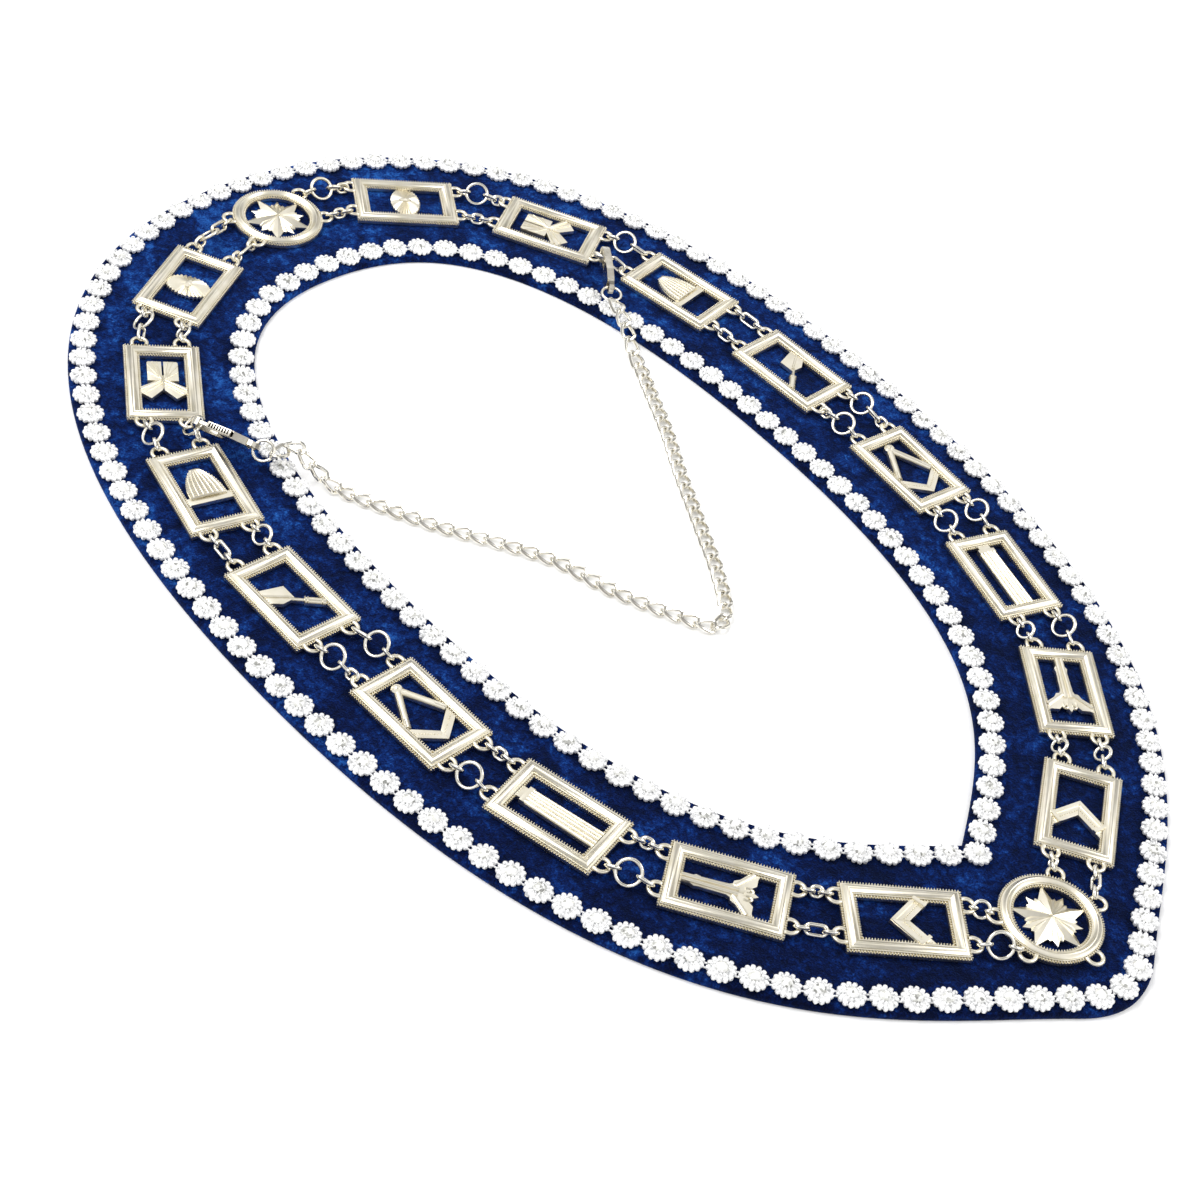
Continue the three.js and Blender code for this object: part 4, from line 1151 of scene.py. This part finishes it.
def lever_grip(side):
    """Raised grip along a clasp's lever, with a row of dark bars across it: painted shade that stands in for
    the shadow in its grooves.
    """
    form = Form()
    length = GRIP_END - GRIP_START
    top = CLASP_WIDTH / 2 + GRIP_HEIGHT
    middle = move((GRIP_START + GRIP_END) / 2 - HOOK_SEAT, 0, 0)
    form.add(*box(length, GRIP_WIDTH, CLASP_WIDTH / 2 - 0.3, top, 0.3), middle)
    for i in range(GROOVES):
        x = GRIP_START + length * (i + 1) / (GROOVES + 1) - HOOK_SEAT
        # Each bar is a thin dark slab on top of the grip, painted shade in place of a groove's shadow
        form.add(*box(GROOVE_WIDTH, GRIP_WIDTH * 0.7, top - 0.3, top + 0.05, 0.01), move(x, 0, 0), slot=1)
    form.piece(f"lever_grip_{side}", [CLASP_SILVER, PAINTED_GROOVE_SHADE], f"lever_{side}", "clasp_silver", None,
               matrix=clasp_frame(side)[0])


lever_grip("left")


def end_ring(side):
    clasp, angle = clasp_frame(side)
    eye = at(clasp, (EYE_SEAT, 0, 0))
    radius = (END_RING_DIAMETER - WIRE) / 2
    matrix = (move(*eye) @ turn("Z", angle) @ turn("Y", END_RING_FALL) @ turn("X", CLASP_LEAN[side])
              @ move(radius, 0, 0))
    return radius, matrix, at(matrix, (radius, 0, 0))


def between(t, t0, p0, t1, p1):
    return (t1 - t) / (t1 - t0) * p0 + (t - t0) / (t1 - t0) * p1


def smooth_line(points, steps=14):
    """Centripetal curve through the points given."""
    points = np.array(points, float)
    points = np.concatenate([[2 * points[0] - points[1]], points, [2 * points[-1] - points[-2]]])
    out = []
    for p0, p1, p2, p3 in zip(points, points[1:], points[2:], points[3:]):
        steps_apart = [np.linalg.norm(q - p) ** 0.5 for p, q in ((p0, p1), (p1, p2), (p2, p3))]
        t0, t1, t2, t3 = np.cumsum([0, *steps_apart])
        for t in np.linspace(t1, t2, steps, endpoint=False):
            a1, a2, a3 = between(t, t0, p0, t1, p1), between(t, t1, p1, t2, p2), between(t, t2, p2, t3, p3)
            b1, b2 = between(t, t0, a1, t2, a2), between(t, t1, a2, t3, a3)
            out.append(between(t, t1, b1, t2, b2))
    out.append(points[-2])
    return np.array(out)


def safety_chain():
    """Twisted curb links from one clasp's ring to the other's."""
    form = Form()
    ends = []
    for side in ("right", "left"):
        radius, matrix, far = end_ring(side)
        form.add(*wire_along(circle(radius), WIRE / 2), matrix)
        ends.append(far)
    line = smooth_line([ends[0], *CHAIN_POINTS, ends[1]])
    line[:, 2] -= CHAIN_DROP * np.clip((6 - line[:, 2]) / 3, 0, 1)
    pitch = CHAIN_LINK_LENGTH - 2 * CHAIN_WIRE - 0.1
    count = round(lengths(line)[-1] / pitch)
    marks = evenly(line, 2 * count)
    half_length = (CHAIN_LINK_LENGTH - CHAIN_WIRE) / 2
    flat = oval(half_length, (CHAIN_LINK_WIDTH - CHAIN_WIRE) / 2, 28)
    roll = CHAIN_TWIST * flat[:, 0] / half_length
    path = np.stack([flat[:, 0], flat[:, 1] * np.cos(roll), flat[:, 1] * np.sin(roll)], -1)
    for i in range(count):
        along = marks[2 * i + 2] - marks[2 * i]
        along /= np.linalg.norm(along)
        side = np.cross((0, 0, 1), along)
        side /= np.linalg.norm(side)
        matrix = np.eye(4)
        matrix[:3, :3] = np.stack([along, side, np.cross(along, side)], -1)
        matrix[:3, 3] = marks[2 * i + 1]
        form.add(*wire_along(path, CHAIN_WIRE / 2, sides=10), matrix)
    form.piece("curb_safety_chain", [WIRE_SILVER], "collar", "wire_silver", ["safety_chain"])


safety_chain()


# Floor, light and camera

def floor():
    mesh = bpy.data.meshes.new("floor")
    corners = [(x * FLOOR_HALF, y * FLOOR_HALF, 0) for x, y in ((-1, -1), (1, -1), (1, 1), (-1, 1))]
    mesh.from_pydata(corners, [], [(0, 1, 2, 3)])
    shader = Shader("white_table")
    shader.set(Base_Color=srgb(252, 252, 252), Roughness=0.8, Specular_IOR_Level=0.1)
    shader.set(Emission_Color=srgb(255, 255, 255), Emission_Strength=FLOOR_GLOW)
    mesh.materials.append(shader.material)
    piece = new_object("floor", mesh)


def area_light(name, place, size, watts):
    data = bpy.data.lights.new(name, "AREA")
    data.shape = "RECTANGLE"
    data.size, data.size_y = size
    data.energy = watts
    light = new_object(name, data)
    light.location = place
    light.rotation_euler = (-Vector(place)).to_track_quat("-Z", "Y").to_euler()


def world():
    """Bright sky band with a darker top and horizon, so that metal has something to mirror."""
    sky = bpy.data.worlds.new("studio")
    sky.use_nodes = True
    nodes, links = sky.node_tree.nodes, sky.node_tree.links
    place = nodes.new("ShaderNodeTexCoord")
    split = nodes.new("ShaderNodeSeparateXYZ")
    ramp = nodes.new("ShaderNodeValToRGB")
    links.new(place.outputs["Generated"], split.inputs["Vector"])
    links.new(split.outputs["Z"], ramp.inputs["Fac"])
    greys = [(0.0, 0.25), (0.3, 0.35), (0.5, 1.0), (0.8, 1.0), (0.97, 0.3)]
    fill_ramp(ramp, [(height, (grey, grey, grey, 1)) for height, grey in greys])
    background = nodes["Background"]
    links.new(ramp.outputs["Color"], background.inputs["Color"])
    background.inputs["Strength"].default_value = SKY_STRENGTH
    bpy.context.scene.world = sky


def camera():
    data = bpy.data.cameras.new("camera")
    data.lens = CAMERA_LENS
    data.sensor_width = CAMERA_SENSOR
    data.clip_start, data.clip_end = 0.01, 50
    eye = new_object("camera", data)
    eye.location = CAMERA_PLACE
    eye.rotation_euler = [radians(angle) for angle in CAMERA_TURN]
    bpy.context.scene.camera = eye


floor()
world()
area_light("key", (-0.5, 0.7, 1.5), (1.2, 0.8), 16)
area_light("fill", (0.9, -0.8, 1.1), (0.8, 0.8), 6)
camera()
bpy.context.scene.view_settings.view_transform = "Standard"
